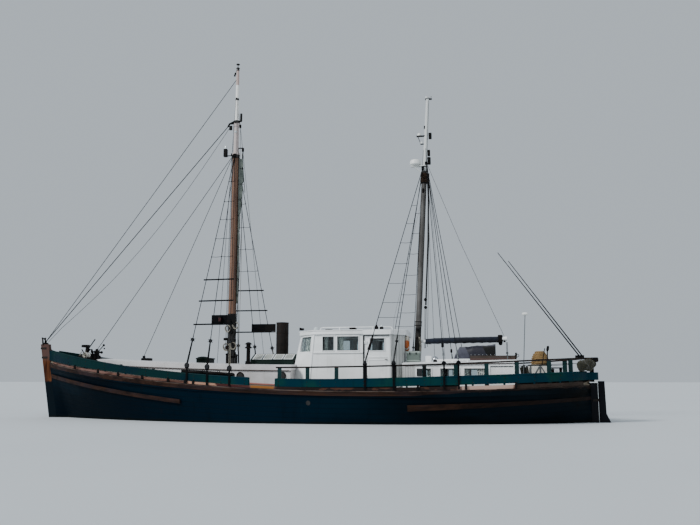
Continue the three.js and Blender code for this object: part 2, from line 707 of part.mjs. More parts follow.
// Vent stack and funnel
const STACK_FOOT = 1900;
const VENT = { x: -1950, y: -930 };
const ventProfile = [
  [0, STACK_FOOT],
  [110, STACK_FOOT],
  [110, 2060],
  [70, 2090],
  [70, 2560],
  [125, 2580],
  [125, 2600],
  [80, 2620],
  [80, 2700],
  [130, 2715],
  [60, 2775],
  [0, 2785],
];
add('vent_stack', cut(turned(ventProfile, [VENT.x, VENT.y, 0], 14), trunkTop), paint.black);
const FUNNEL = { x: -1150, y: 720, radius: 235, wall: 12, top: 3600, bore: 500 };
const funnelAt = (z) => [FUNNEL.x, FUNNEL.y, z];
const funnel = cut(
  rod(funnelAt(STACK_FOOT), funnelAt(FUNNEL.top), FUNNEL.radius, 20),
  rod(funnelAt(FUNNEL.top - FUNNEL.bore), funnelAt(FUNNEL.top + 10), FUNNEL.radius - FUNNEL.wall, 20),
  trunkTop,
);
add('funnel', funnel, paint.black);

// Wheelhouse walls, doors and roof
const DOOR = { fore: 2420, aft: 3280, foot: 1290, head: 2925, gap: 8 };
const ACROSS = 1700; // half the width of a cut through both sides
const SIDE_PANES = { low: 2430, high: 2950, spans: [[930, 1340], [1450, 2210]] };
const FRONT_PANES = { low: 2400, high: 2930, half: 205, ys: [-520, 0, 520] };
const FACET_PANE = { x: 240, y: -1150, z: 2665, wide: 700, deep: 420, tall: 540 };
const sideOpenings = SIDE_PANES.spans.map(([x0, x1]) =>
  box(x0, x1, -ACROSS, ACROSS, SIDE_PANES.low, SIDE_PANES.high),
);
const doorway = box(DOOR.fore, DOOR.aft, -ACROSS, ACROSS, DOOR.foot, DOOR.head);
const frontOpenings = FRONT_PANES.ys.map((y) =>
  box(HOUSE.front - 260, 400, y - FRONT_PANES.half, y + FRONT_PANES.half, FRONT_PANES.low, FRONT_PANES.high),
);
const facetTurn = Math.atan2(HOUSE.side - HOUSE.frontHalf, HOUSE.shoulder - HOUSE.front);
const facet = solid(
  new THREE.BoxGeometry(FACET_PANE.wide, FACET_PANE.deep, FACET_PANE.tall)
    .rotateZ(-facetTurn)
    .translate(FACET_PANE.x, FACET_PANE.y, FACET_PANE.z),
);
const houseWalls = cut(
  houseBlock(0, HOUSE.foot, HOUSE.top),
  houseBlock(HOUSE.wall, HOUSE.foot - 200, HOUSE.top + 50),
  ...sideOpenings,
  doorway,
  ...frontOpenings,
  facet,
  mirrored(facet),
  deckCutter,
);
add('wheelhouse_walls', houseWalls, paint.white);
const ROOF = {
  fore: -60,
  foreHalf: 860,
  shoulder: 640,
  half: 1560,
  aftShoulder: 3300,
  aft: 3760,
  aftHalf: 940,
  edge: 150,
  rise: 70,
};
const roofHalf = (x) =>
  ROOF.half -
  (ROOF.half - ROOF.foreHalf) * (1 - ramp(x, ROOF.fore, ROOF.shoulder)) -
  (ROOF.half - ROOF.aftHalf) * ramp(x, ROOF.aftShoulder, ROOF.aft);
const houseRoof = crowned({
  xs: [ROOF.fore, 300, ROOF.shoulder, 1500, 2500, ROOF.aftShoulder, 3500, ROOF.aft],
  half: roofHalf,
  edge: () => HOUSE.top + ROOF.edge + GAP,
  rise: ROOF.rise,
  thick: ROOF.edge + ROOF.rise + 10,
});
add('wheelhouse_roof', cut(houseRoof, below(HOUSE.top + GAP)), paint.white);

// Doors, each hung at its forward edge on the outside of the wall
const HINGE = {
  x: DOOR.fore - 4,
  y: -HOUSE.side - 10 - GAP,
  radius: 10,
  tall: 110,
  leaf: 90,
  zs: [1500, 2050, 2650],
};
const DOOR_PANE = { fore: 2600, aft: 3110, low: 2420, high: 2850 };
const doorFace = -HOUSE.side + 10;
const doorBody = () => {
  const panel = box(
    DOOR.fore + DOOR.gap,
    DOOR.aft - DOOR.gap,
    doorFace,
    doorFace + 42,
    DOOR.foot + DOOR.gap,
    DOOR.head - DOOR.gap,
  );
  const light = box(DOOR_PANE.fore, DOOR_PANE.aft, -ACROSS, -HOUSE.aftHalf, DOOR_PANE.low, DOOR_PANE.high);
  const hinges = HINGE.zs.map((z) =>
    join(
      rod([HINGE.x, HINGE.y, z], [HINGE.x, HINGE.y, z + HINGE.tall], HINGE.radius, 12),
      box(HINGE.x, HINGE.x + HINGE.leaf, HINGE.y - 4, HINGE.y + 4, z + 10, z + HINGE.tall - 10),
      box(HINGE.x + 14, HINGE.x + HINGE.leaf, HINGE.y - 4, doorFace + 4, z + 10, z + HINGE.tall - 10),
    ),
  );
  return join(cut(panel, light), ...hinges);
};
addPair('wheelhouse_door', doorBody(), paint.white);

// Glass: one band inside the front and side windows
const GLASS = 8;
const glassBand = cut(
  houseBlock(HOUSE.wall + GAP * 2, HOUSE.foot - 200, HOUSE.top + 50),
  houseBlock(HOUSE.wall + GLASS, HOUSE.foot - 200, HOUSE.top + 50),
  below(FRONT_PANES.low - 100),
  above(HOUSE.top - 5),
  aftOf(DOOR.fore - 90),
);
add('wheelhouse_glass', glassBand, paint.glass);

// Helm
const STAND = { fore: 380, aft: 830, half: 380, top: 2200 };
const HELM = {
  z: 2080,
  radius: 330,
  rim: 20,
  spokes: 6,
  handle: 110,
  spoke: 14,
  hub: 60,
  hubHalf: 35,
  shaft: 60,
};
const helmStand = cut(
  join(
    box(STAND.fore, STAND.aft, -STAND.half, STAND.half, HOUSE.foot, STAND.top),
    rod([STAND.aft - 10, 0, HELM.z], [STAND.aft + HELM.shaft, 0, HELM.z], HELM.hubHalf, 10),
  ),
  deckCutter,
);
add('helm_stand', helmStand, paint.bright);
const wheelRim = solid(new THREE.TorusGeometry(HELM.radius, HELM.rim, 5, 18).rotateY(Math.PI / 2));
const spokes = range(0, HELM.spokes - 1, HELM.spokes - 1).map((i) => {
  const angle = (2 * Math.PI * i) / HELM.spokes;
  const reach = HELM.radius + HELM.handle;
  return rod([0, 0, 0], [0, reach * Math.cos(angle), reach * Math.sin(angle)], HELM.spoke, 6);
});
const wheelHub = rod([-HELM.hubHalf, 0, 0], [HELM.hubHalf, 0, 0], HELM.hub, 12);
const wheelX = STAND.aft + HELM.shaft + GAP + HELM.hubHalf;
const steeringWheel = join(wheelRim, ...spokes, wheelHub).translate([wheelX, 0, HELM.z]);
add('steering_wheel', steeringWheel, paint.bright);

// Aft cabin
const CABIN = { fore: 3720, aft: 7500, foreHalf: 1480, aftHalf: 1330, rise: 90, wall: 50, roof: 70 };
const cabinHalf = (x) => CABIN.foreHalf + (CABIN.aftHalf - CABIN.foreHalf) * ramp(x, CABIN.fore, CABIN.aft);
const cabinEdge = (x) => 1985 + 65 * ramp(x, CABIN.fore, CABIN.aft);
const cabinBlock = (inset, thick) =>
  crowned({
    xs: range(CABIN.fore + inset, CABIN.aft - inset, 4),
    half: (x) => cabinHalf(x) - inset,
    edge: (x) => cabinEdge(x) - CABIN.roof - GAP,
    rise: CABIN.rise,
    thick,
  });
const CABIN_PANES = { low: 1540, high: 1810, spans: [[4200, 4680], [4990, 5620], [5790, 6470]] };
const cabinWindows = CABIN_PANES.spans.map(([x0, x1]) =>
  box(x0, x1, -ACROSS, ACROSS, CABIN_PANES.low, CABIN_PANES.high),
);
const COMPANION = { half: 340, fore: 6950, sill: 1760 };
const opening = (fore, low) => box(fore, ROOM.aft, -COMPANION.half, COMPANION.half, low, ROOM.high);
const cabinWalls = cut(
  cabinBlock(0, 900),
  cabinBlock(CABIN.wall, 1100).translate([0, 0, 60]),
  ...cabinWindows,
  opening(CABIN.aft - 200, COMPANION.sill),
  deckCutter,
);
add('cabin_walls', cabinWalls, paint.white);
const cabinRoofPlate = (grow) =>
  crowned({
    xs: range(CABIN.fore - 15, CABIN.aft + 40, 4),
    half: (x) => cabinHalf(x) + 40,
    edge: cabinEdge,
    rise: CABIN.rise,
    thick: CABIN.roof,
    grow,
  });
add('cabin_roof', cut(cabinRoofPlate(0), opening(COMPANION.fore, CABIN_PANES.low)), paint.white);
const cabinTop = cabinRoofPlate(GAP);
const cabinGlass = cut(
  cabinBlock(CABIN.wall + GAP * 2, 600),
  cabinBlock(CABIN.wall + GLASS, 700).translate([0, 0, 50]),
  below(CABIN_PANES.low - 40),
  above(CABIN_PANES.high + 40),
  aftOf(6560),
);
add('cabin_glass', cabinGlass, paint.glass);

// Companionway: fixed garage and runners, and the hatch that slides forward into it
const GARAGE = {
  fore: 5960,
  aft: 6850,
  end: 7500,
  half: 480,
  step: 430,
  inner: 350,
  foot: 2085,
  roof: 2222,
  top: 2262,
};
const SLIDE = { z: 2172, thick: 34, half: 420, fore: 6865, flap: 7515, aft: 7550, handle: 75 };
const garageSide = join(
  box(GARAGE.fore, GARAGE.end, GARAGE.inner, GARAGE.step, GARAGE.foot, SLIDE.z),
  box(GARAGE.fore, GARAGE.end, GARAGE.step, GARAGE.half, GARAGE.foot, GARAGE.top),
);
const garage = cut(
  join(
    garageSide,
    mirrored(garageSide),
    box(GARAGE.fore, GARAGE.aft, -GARAGE.half, GARAGE.half, GARAGE.roof, GARAGE.top),
    box(GARAGE.fore, GARAGE.fore + 40, -GARAGE.half, GARAGE.half, GARAGE.foot, GARAGE.top),
  ),
  cabinTop,
);
add('companion_garage', garage, paint.weathered);
const flapHalf = COMPANION.half - 8;
add(
  'companion_hatch',
  join(
    box(SLIDE.fore, SLIDE.aft, -SLIDE.half, SLIDE.half, SLIDE.z + GAP, SLIDE.z + SLIDE.thick),
    box(SLIDE.flap, SLIDE.aft, -flapHalf, flapHalf, COMPANION.sill + 10, SLIDE.z + SLIDE.thick),
    box(SLIDE.flap, SLIDE.aft, -SLIDE.half, SLIDE.half, SLIDE.z + GAP, SLIDE.z + SLIDE.handle),
  ),
  paint.timber,
);

// Spray hood over the garage, open aft
const HOOD = {
  fore: 5990,
  bend: 6240,
  aft: 6845,
  half: 470,
  foot: GARAGE.top + GAP,
  low: 140,
  top: 2660,
  cloth: 14,
};
const hoodRing = (x, half, top, inset) => {
  const foot = HOOD.foot - (inset ? 20 : 0);
  const port = [
    [x, -half * 0.62 + inset * 0.5, top - inset],
    [x, -half + inset, top - 110 - inset],
    [x, -half + inset, foot],
  ];
  const starboard = port.map(([px, py, pz]) => [px, -py, pz]).reverse();
  return [[x, 0, top + 20 - inset], ...port, [x, 0, foot], ...starboard];
};
// The hood's outside, and with an inset the hollow under it, which runs out through the open end
const hoodShape = (inset) => {
  const past = inset ? 20 : 0;
  return skin([
    hoodRing(HOOD.fore + past, HOOD.half - 20, HOOD.foot + HOOD.low, inset),
    hoodRing(HOOD.bend, HOOD.half, HOOD.top - 30, inset),
    hoodRing(HOOD.aft + past, HOOD.half, HOOD.top, inset),
  ]);
};
const hood = cut(hoodShape(0), hoodShape(HOOD.cloth));
add('spray_hood', hood, paint.grey);

// Locker on the cabin roof, beside the foot of the mizzen
const LOCKER = { fore: 3800, aft: 4260, outer: -1000, inner: -600, foot: 2000, top: 2400 };
const locker = box(LOCKER.fore, LOCKER.aft, LOCKER.outer, LOCKER.inner, LOCKER.foot, LOCKER.top);
add('roof_locker', cut(locker, cabinTop), paint.white);

// Masts. A profile is a table of radius and height. grow: the room cut out of what rests against a mast
const mast = (profile, at, sides, grow) => {
  const [foot, head] = [profile[0][1], profile[profile.length - 1][1]];
  const outline = profile.map(([radius, z]) => [radius + grow, z === head ? z + grow : z]);
  return turned([[0, foot], ...outline, [0, head + grow]], at, sides);
};
const MAIN = { x: -2930, eyes: 10080, spread: 130 };
const mainProfile = [
  [150, 2000],
  [152, 3500],
  [160, 3560],
  [160, 3880],
  [150, 3940],
  [126, 9980],
  [145, 10000],
  [145, 10200],
  [100, 10230],
  [95, 11270],
  [115, 11290],
  [115, 11540],
  [80, 11570],
  [72, 12390],
  [52, 13600],
  [64, 13620],
  [50, 13700],
];
const mainSolid = (grow) => mast(mainProfile, [MAIN.x, 0, 0], 14, grow);
add('main_mast', cut(mainSolid(0), trunkTop), paint.bright);
const mainClear = mainSolid(GAP);
const MIZZEN = { x: 4060, foot: 2000, lean: 0.0541, shrouds: 9170, backstays: 9370, spread: 105 };
const mizzenX = (z) => MIZZEN.x + MIZZEN.lean * (z - MIZZEN.foot);
const leanDegrees = (Math.atan(MIZZEN.lean) * 180) / Math.PI;
const mizzenProfile = [
  [112, 45],
  [110, 1350],
  [118, 1360],
  [118, 1520],
  [106, 1540],
  [92, 6640],
  [105, 6660],
  [105, 7000],
  [84, 7030],
  [60, 9900],
  [78, 9910],
  [78, 9960],
];
const mizzenSolid = (grow) =>
  mast(mizzenProfile, [0, 0, 0], 12, grow).rotate([0, leanDegrees, 0]).translate([MIZZEN.x, 0, MIZZEN.foot]);
add('mizzen_mast', cut(mizzenSolid(0), cabinTop), paint.weathered);
const mizzenClear = mizzenSolid(GAP);

// Radar dome on its bracket, on the front of the mizzen mast
const DOME = { x: 4100, z: 9320, foot: 150, radius: 205, crown: 170, high: 220 };
const domeProfile = [
  [0, 0],
  [DOME.foot, 0],
  [DOME.radius, 40],
  [DOME.radius, 150],
  [DOME.crown, 205],
  [0, DOME.high],
];
const domeMast = mizzenX(DOME.z);
const dome = join(
  turned(domeProfile, [DOME.x, 0, DOME.z], 16),
  box(DOME.x, domeMast - 40, -35, 35, DOME.z - 55, DOME.z + 8),
  box(domeMast - 110, domeMast - 30, -50, 50, DOME.z - 160, DOME.z + 8),
);
add('radar_dome', cut(dome, mizzenClear), paint.white);

// Shrouds: wires from the mast to deadeyes, with chainplates down the side
const WIRE = 12;
const DEADEYE = { radius: 75, under: 60, outer: 50, inner: -10 };
const CHAIN = { half: 30, outer: 28, inner: 12, low: 20 };
const sideY = (x, out) => -(deckHalf(x) + out);
const shroudSet = ({ feet, foot, mastX, top, spread, shift = 0 }) =>
  feet.map((x) => {
    const eye = foot(x) - DEADEYE.under;
    const [outer, inner] = [sideY(x, CHAIN.outer), sideY(x, CHAIN.inner)];
    return join(
      rod([x, sideY(x, 20), foot(x)], [mastX(top) + shift, -spread, top], WIRE, 6),
      rod([x, sideY(x, DEADEYE.outer), eye], [x, sideY(x, DEADEYE.inner), eye], DEADEYE.radius, 8),
      box(x - CHAIN.half, x + CHAIN.half, outer, inner, sheer(x) + CHAIN.low, eye + 20),
    );
  });
const mainFeet = [-3560, -2800, -1990];
const mainFoot = (x) => sheer(x) + 640;
const mainShroudAt = (x, z) => {
  const share = (z - mainFoot(x)) / (MAIN.eyes - mainFoot(x));
  return [x + (MAIN.x - x) * share, sideY(x, 20) * (1 - share) - MAIN.spread * share, z];
};
const BATTEN = { radius: 26, past: 90, zs: [3350, 4200, 4990] };
const battens = BATTEN.zs.map((z) => {
  const [foreX, foreY] = mainShroudAt(mainFeet[0], z);
  const [aftX, aftY] = mainShroudAt(mainFeet[2], z);
  return rod([foreX - BATTEN.past, foreY - 10, z], [aftX + BATTEN.past, aftY - 10, z], BATTEN.radius, 6);
});
const LIGHT_BOARD = { fore: -2880, aft: -2300, low: 3370, high: 3670 };
const boardY = mainShroudAt(mainFeet[1], (LIGHT_BOARD.low + LIGHT_BOARD.high) / 2)[1];
const mainShrouds = cut(
  join(
    ...shroudSet({
      feet: mainFeet,
      foot: mainFoot,
      mastX: () => MAIN.x,
      top: MAIN.eyes,
      spread: MAIN.spread,
    }),
    ...battens,
    box(LIGHT_BOARD.fore, LIGHT_BOARD.aft, boardY - 25, boardY + 15, LIGHT_BOARD.low, LIGHT_BOARD.high),
    box(MAIN.x - 60, MAIN.x + 60, -190, -100, MAIN.eyes - 60, MAIN.eyes + 60),
  ),
  mainClear,
);
addPair('main_shrouds', mainShrouds, paint.black);
const shroudHead = mizzenX(MIZZEN.shrouds);
const mizzenShrouds = cut(
  join(
    ...shroudSet({
      feet: [2650, 3590],
      foot: (x) => railHigh(x) + 130,
      mastX: mizzenX,
      top: MIZZEN.shrouds,
      spread: MIZZEN.spread,
      shift: -70,
    }),
    box(shroudHead - 110, shroudHead - 20, -150, -60, MIZZEN.shrouds - 60, MIZZEN.shrouds + 60),
  ),
  mizzenClear,
);
addPair('mizzen_shrouds', mizzenShrouds, paint.black);
const backstayHead = mizzenX(MIZZEN.backstays);
const backstays = cut(
  join(
    ...shroudSet({
      feet: [5200, 5660],
      foot: (x) => railHigh(x) + 90,
      mastX: mizzenX,
      top: MIZZEN.backstays,
      spread: MIZZEN.spread,
      shift: 50,
    }),
    box(backstayHead + 10, backstayHead + 90, -150, -50, MIZZEN.backstays - 50, MIZZEN.backstays + 50),
  ),
  mizzenClear,
);
addPair('mizzen_backstays', backstays, paint.black);

// Stays forward of the main mast
const stemHead = [stemFront(STEM_TOP) + 150, 0, STEM_TOP + 90];
const TOP_STAY = 13250;
const LOW_STAY = { z: 11420, out: 260, spar: 28 };
const headStays = cut(
  join(
    rod(stemHead, [MAIN.x - 40, 0, TOP_STAY], WIRE, 6),
    rod(stemHead, [MAIN.x - LOW_STAY.out, 0, LOW_STAY.z], WIRE + 4, 6),
    rod([MAIN.x - LOW_STAY.out - 20, 0, LOW_STAY.z], [MAIN.x - 80, 0, LOW_STAY.z], LOW_STAY.spar, 6),
    box(stemHead[0] - 90, stemHead[0] + 90, -60, 60, STEM_TOP + GAP, STEM_TOP + 60),
    rod([stemHead[0], 0, STEM_TOP + 40], [stemHead[0], 0, STEM_TOP + 130], 45, 8),
  ),
  mainClear,
);
add('head_stays', headStays, paint.black);
const SAMSON = { x: -8430, half: 75, top: 2560 };
const INNER = { x: -6450, foot: 2100, eye: 2345, head: 10150 };
const innerHead = [MAIN.x - 100, 0, INNER.head];
const innerStays = cut(
  join(
    rod([SAMSON.x, 0, SAMSON.top + 20], innerHead, WIRE, 6),
    rod([INNER.x, 0, INNER.eye - 15], innerHead, WIRE - 2, 6),
    box(MAIN.x - 190, MAIN.x - 100, -45, 45, INNER.head - 60, INNER.head + 50),
    box(INNER.x - 40, INNER.x + 40, -40, 40, INNER.foot, INNER.eye),
    box(SAMSON.x - 40, SAMSON.x + 40, -40, 40, SAMSON.top + GAP, SAMSON.top + 60),
  ),
  mainClear,
  trunkTop,
);
add('inner_stays', innerStays, paint.black);

// Foredeck: the windlass, with the post that stands abaft it on the same bed
const WINDLASS = { x: -8750, z: 2200, foot: 1700, bed: 2030, half: 430 };
const CHEEK = { fore: -8970, aft: -8470, inner: 340, outer: 420, top: 2350 };
const BARREL = { drum: 170, drumHalf: 300, end: 130, endHalf: 620 };
const cheek = box(CHEEK.fore, CHEEK.aft, -CHEEK.outer, -CHEEK.inner, WINDLASS.foot, CHEEK.top);
const barrel = (radius, half) => rod([WINDLASS.x, -half, WINDLASS.z], [WINDLASS.x, half, WINDLASS.z], radius, 12);
const windlass = cut(
  join(
    box(CHEEK.fore - 20, SAMSON.x + 90, -WINDLASS.half, WINDLASS.half, WINDLASS.foot, WINDLASS.bed),
    box(SAMSON.x - SAMSON.half, SAMSON.x + SAMSON.half, -SAMSON.half, SAMSON.half, WINDLASS.foot, SAMSON.top),
    cheek,
    mirrored(cheek),
    barrel(BARREL.end, BARREL.endHalf),
    barrel(BARREL.drum, BARREL.drumHalf),
  ),
  deckCutter,
);
add('windlass', windlass, paint.black);

// Mizzen boom and the sail stowed on it under its cover
const BOOM = { aft: 7180, aftZ: 2865, radius: 60, cap: 75, capFore: 120, capAft: 60 };
const PIN = { z: 2790, fromMast: 127.6, radius: 16, half: 70 };
const pinX = mizzenX(PIN.z) + PIN.fromMast;
const pinLean = MIZZEN.lean * PIN.half;
const boomAt = (x) => [x, 0, PIN.z + ((BOOM.aftZ - PIN.z) * (x - pinX)) / (BOOM.aft - pinX)];
const boom = join(
  rod(boomAt(pinX + 45), boomAt(BOOM.aft), BOOM.radius, 10),
  rod([pinX - pinLean, 0, PIN.z - PIN.half], [pinX + pinLean, 0, PIN.z + PIN.half], PIN.radius, 8),
  box(pinX + 8, pinX + 80, -20, 20, PIN.z - 40, PIN.z + 40),
  rod([BOOM.aft - BOOM.capFore, 0, BOOM.aftZ], [BOOM.aft + BOOM.capAft, 0, BOOM.aftZ], BOOM.cap, 10),
);
add('mizzen_boom', cut(boom, mizzenClear), paint.white);
const COVER = { fore: pinX + 150, aft: BOOM.aft - 170 };
const coverSections = [
  { x: COVER.fore, half: 80, low: 75, high: 130 },
  { x: COVER.fore + 250, half: 120, low: 85, high: 150 },
  { x: 5600, half: 125, low: 85, high: 130 },
  { x: COVER.aft - 300, half: 105, low: 80, high: 105 },
  { x: COVER.aft, half: 75, low: 70, high: 80 },
];
const coverRing = ({ x, half, low, high }) => {
  const z = boomAt(x)[2];
  const port = [
    [x, -half * 0.7, z + high * 0.75],
    [x, -half, z + high * 0.1],
    [x, -half * 0.6, z - low * 0.8],
  ];
  const starboard = port.map(([px, py, pz]) => [px, -py, pz]).reverse();
  return [[x, 0, z + high], ...port, [x, 0, z - low], ...starboard];
};
const coverBody = cut(
  skin(coverSections.map(coverRing)),
  rod(boomAt(pinX), boomAt(BOOM.aft + 10), BOOM.radius + 2 * GAP, 10),
);
add('mizzen_sail_cover', coverBody, paint.navy);

// Furled sail standing behind the main mast
const furledSections = [
  { z: 4300, fore: 80, aft: 200, foreHalf: 20, aftHalf: 30 },
  { z: 8200, fore: 80, aft: 215, foreHalf: 30, aftHalf: 40 },
  { z: 9300, fore: 60, aft: 330, foreHalf: 35, aftHalf: 50 },
  { z: 9960, fore: 60, aft: 330, foreHalf: 25, aftHalf: 25 },
];
const furledRing = ({ z, fore, aft, foreHalf, aftHalf }) => [
  [MAIN.x + fore, -foreHalf, z],
  [MAIN.x + aft, -aftHalf, z],
  [MAIN.x + aft, aftHalf, z],
  [MAIN.x + fore, foreHalf, z],
];
add('furled_sail', cut(skin(furledSections.map(furledRing)), mainClear), paint.sail);

// Two long poles that stand on the stern rail, in one shoe
const POLE = { thick: 24, thin: 12, lean: 80 };
const poleEnds = [
  { foot: 9710, tip: 7010, top: 5850 },
  { foot: 9830, tip: 7370, top: 5570 },
];
const pole = ({ foot, tip, top }) => {
  const from = along(foot, RAIL.inward, railHigh(foot) + 60);
  return rod(from, [tip, from[1] + POLE.lean, top], POLE.thick, 6, POLE.thin);
};
const SHOE = { xs: [9560, 9710, 9860], half: 30, high: 80 };
const shoeRing = (x) => {
  const foot = railHigh(x) + RAIL.thick + GAP;
  return [
    along(x, RAIL.inward - SHOE.half, foot),
    along(x, RAIL.inward - SHOE.half, foot + SHOE.high),
    along(x, RAIL.inward + SHOE.half, foot + SHOE.high),
    along(x, RAIL.inward + SHOE.half, foot),
  ];
};
add('stern_poles', join(...poleEnds.map(pole), skin(SHOE.xs.map(shoeRing))), paint.black);

// Life ring on the after wall of the wheelhouse
const RING = { y: -480, z: 2695, radius: 215, thick: 65 };
const ring = solid(new THREE.TorusGeometry(RING.radius, RING.thick, 8, 20).rotateY(Math.PI / 2));
add('life_ring', ring.translate([HOUSE.aft + RING.thick + GAP, RING.y, RING.z]), paint.orange);

export default ketch;
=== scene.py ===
"""Looks of a wooden ketch afloat: finishes, joinery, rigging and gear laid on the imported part, in metres."""

import json
import math

import bmesh
import bpy
from mathutils import Matrix, Vector


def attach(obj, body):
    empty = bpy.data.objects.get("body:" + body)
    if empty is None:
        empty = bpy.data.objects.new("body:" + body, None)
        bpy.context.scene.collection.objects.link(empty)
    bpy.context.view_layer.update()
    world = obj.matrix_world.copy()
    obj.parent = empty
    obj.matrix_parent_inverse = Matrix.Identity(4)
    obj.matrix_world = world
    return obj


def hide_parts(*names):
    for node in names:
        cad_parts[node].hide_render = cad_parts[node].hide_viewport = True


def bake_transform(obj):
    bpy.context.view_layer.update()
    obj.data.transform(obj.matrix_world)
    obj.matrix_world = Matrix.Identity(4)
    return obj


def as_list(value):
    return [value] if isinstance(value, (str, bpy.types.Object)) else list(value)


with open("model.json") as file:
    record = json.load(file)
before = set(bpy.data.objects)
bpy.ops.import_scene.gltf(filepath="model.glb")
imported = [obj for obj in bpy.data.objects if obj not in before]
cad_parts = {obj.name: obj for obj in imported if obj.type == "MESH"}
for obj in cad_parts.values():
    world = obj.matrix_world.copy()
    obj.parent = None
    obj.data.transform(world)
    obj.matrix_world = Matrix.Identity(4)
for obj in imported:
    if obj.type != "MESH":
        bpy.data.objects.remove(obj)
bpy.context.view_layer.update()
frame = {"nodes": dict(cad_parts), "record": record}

AFT, PORT, STARBOARD, UP = Vector((1, 0, 0)), Vector((0, -1, 0)), Vector((0, 1, 0)), Vector((0, 0, 1))


# Lines of the hull, as in the part's source, in metres
def ramp(value, low, high):
    return min(1.0, max(0.0, (value - low) / (high - low)))


def sheer(x):
    return 1.08 + (0.0062 if x < 2.5 else 0.0033) * (x - 2.5) ** 2


def keel_bottom(x):
    return -1.9 - 0.55 * (x + 8.6) / 18.82


def stem_front(z):
    return -10.27 - 0.19 * z + (0.35 * z * z if z < 0 else 0)


def stern_end(z):
    return 9.99 - 0.64 * ramp(-z, 0.56, 0.9)


def deck_half(x):
    t = min(1.0, -x / 10.42) if x < 0 else min(1.0, x / 9.99)
    shape = (1 - t**2.6) ** 0.85 if x < 0 else (1 - t**4) ** 0.62
    return max(0.08, 2.8 * shape)


def water_half(x):
    t = min(1.0, -x / 9.94) if x < 0 else min(1.0, x / 9.99)
    shape = 1 - t**2.1 if x < 0 else 1 - t**2.6
    return max(0.08, 2.73 * shape)


def below_water(x, depth):
    full = max(0.0, 1 - (x / 9.94) ** 2 if x < 0 else 1 - (x / 9.99) ** 2)
    return 0.08 + (water_half(x) - 0.08) * (1 - depth ** (1.1 + 1.7 * full)) ** (0.55 + 0.6 * (1 - full))


def rail_high(x):
    return 1.84 + 0.003 * (x + 0.4) ** 2


def dip(x):
    """How far the planks along the deck edge sag amidships, from 0 to 1."""
    return math.exp(-(((x + 1.0) / (8.0 if x < -1.0 else 4.8)) ** 2))


def board_top(x):
    return sheer(x) + 0.12 - 0.06 * ramp(-x, 6.5, 9.5) - 0.045 * dip(x)


def bulwark_low(x):
    return sheer(x) + 0.17 - 0.065 * ramp(-x, 7, 10.3) - 0.085 * dip(x)


def bulwark_high(x):
    return sheer(x) + 0.425 + 0.06 * ramp(-x, 6, 10.3) - 0.115 * dip(x)


def beside(x, inward, z):
    """The point that far inside the deck edge on the port side."""
    turn = math.atan2(deck_half(x + 0.04) - deck_half(x - 0.04), 0.08)
    return Vector((x + math.sin(turn) * inward, -deck_half(x) + math.cos(turn) * inward, z))


def trunk_edge(x):
    return 1.931 - 0.0087 * x + 0.003 * x * x


def trunk_half(x):
    return 0.93 + 0.61 * ramp(x, -7.85, -0.2) ** 0.8


def cabin_edge(x):
    return 1.985 + 0.065 * ramp(x, 3.72, 7.5)


def cabin_half(x):
    return 1.48 - 0.15 * ramp(x, 3.72, 7.5)


def mizzen_x(z):
    return 4.06 + 0.0541 * (z - 2.0)


def between(low, high, count):
    return [low + (high - low) * i / (count - 1) for i in range(count)]


# Colours, by what they are on
def tint(code):
    parts = [int(code[i : i + 2], 16) / 255 for i in (1, 3, 5)]
    return (*[p / 12.92 if p <= 0.04045 else ((p + 0.055) / 1.055) ** 2.4 for p in parts], 1.0)


def shade(colour, by):
    return (*[part * by for part in colour[:3]], 1)


SOCKETS = {
    "gloss": "Specular IOR Level",
    "coat": "Coat Weight",
    "coat_rough": "Coat Roughness",
    "metal": "Metallic",
    "clear": "Transmission Weight",
    "ior": "IOR",
    "sheen": "Sheen Weight",
}


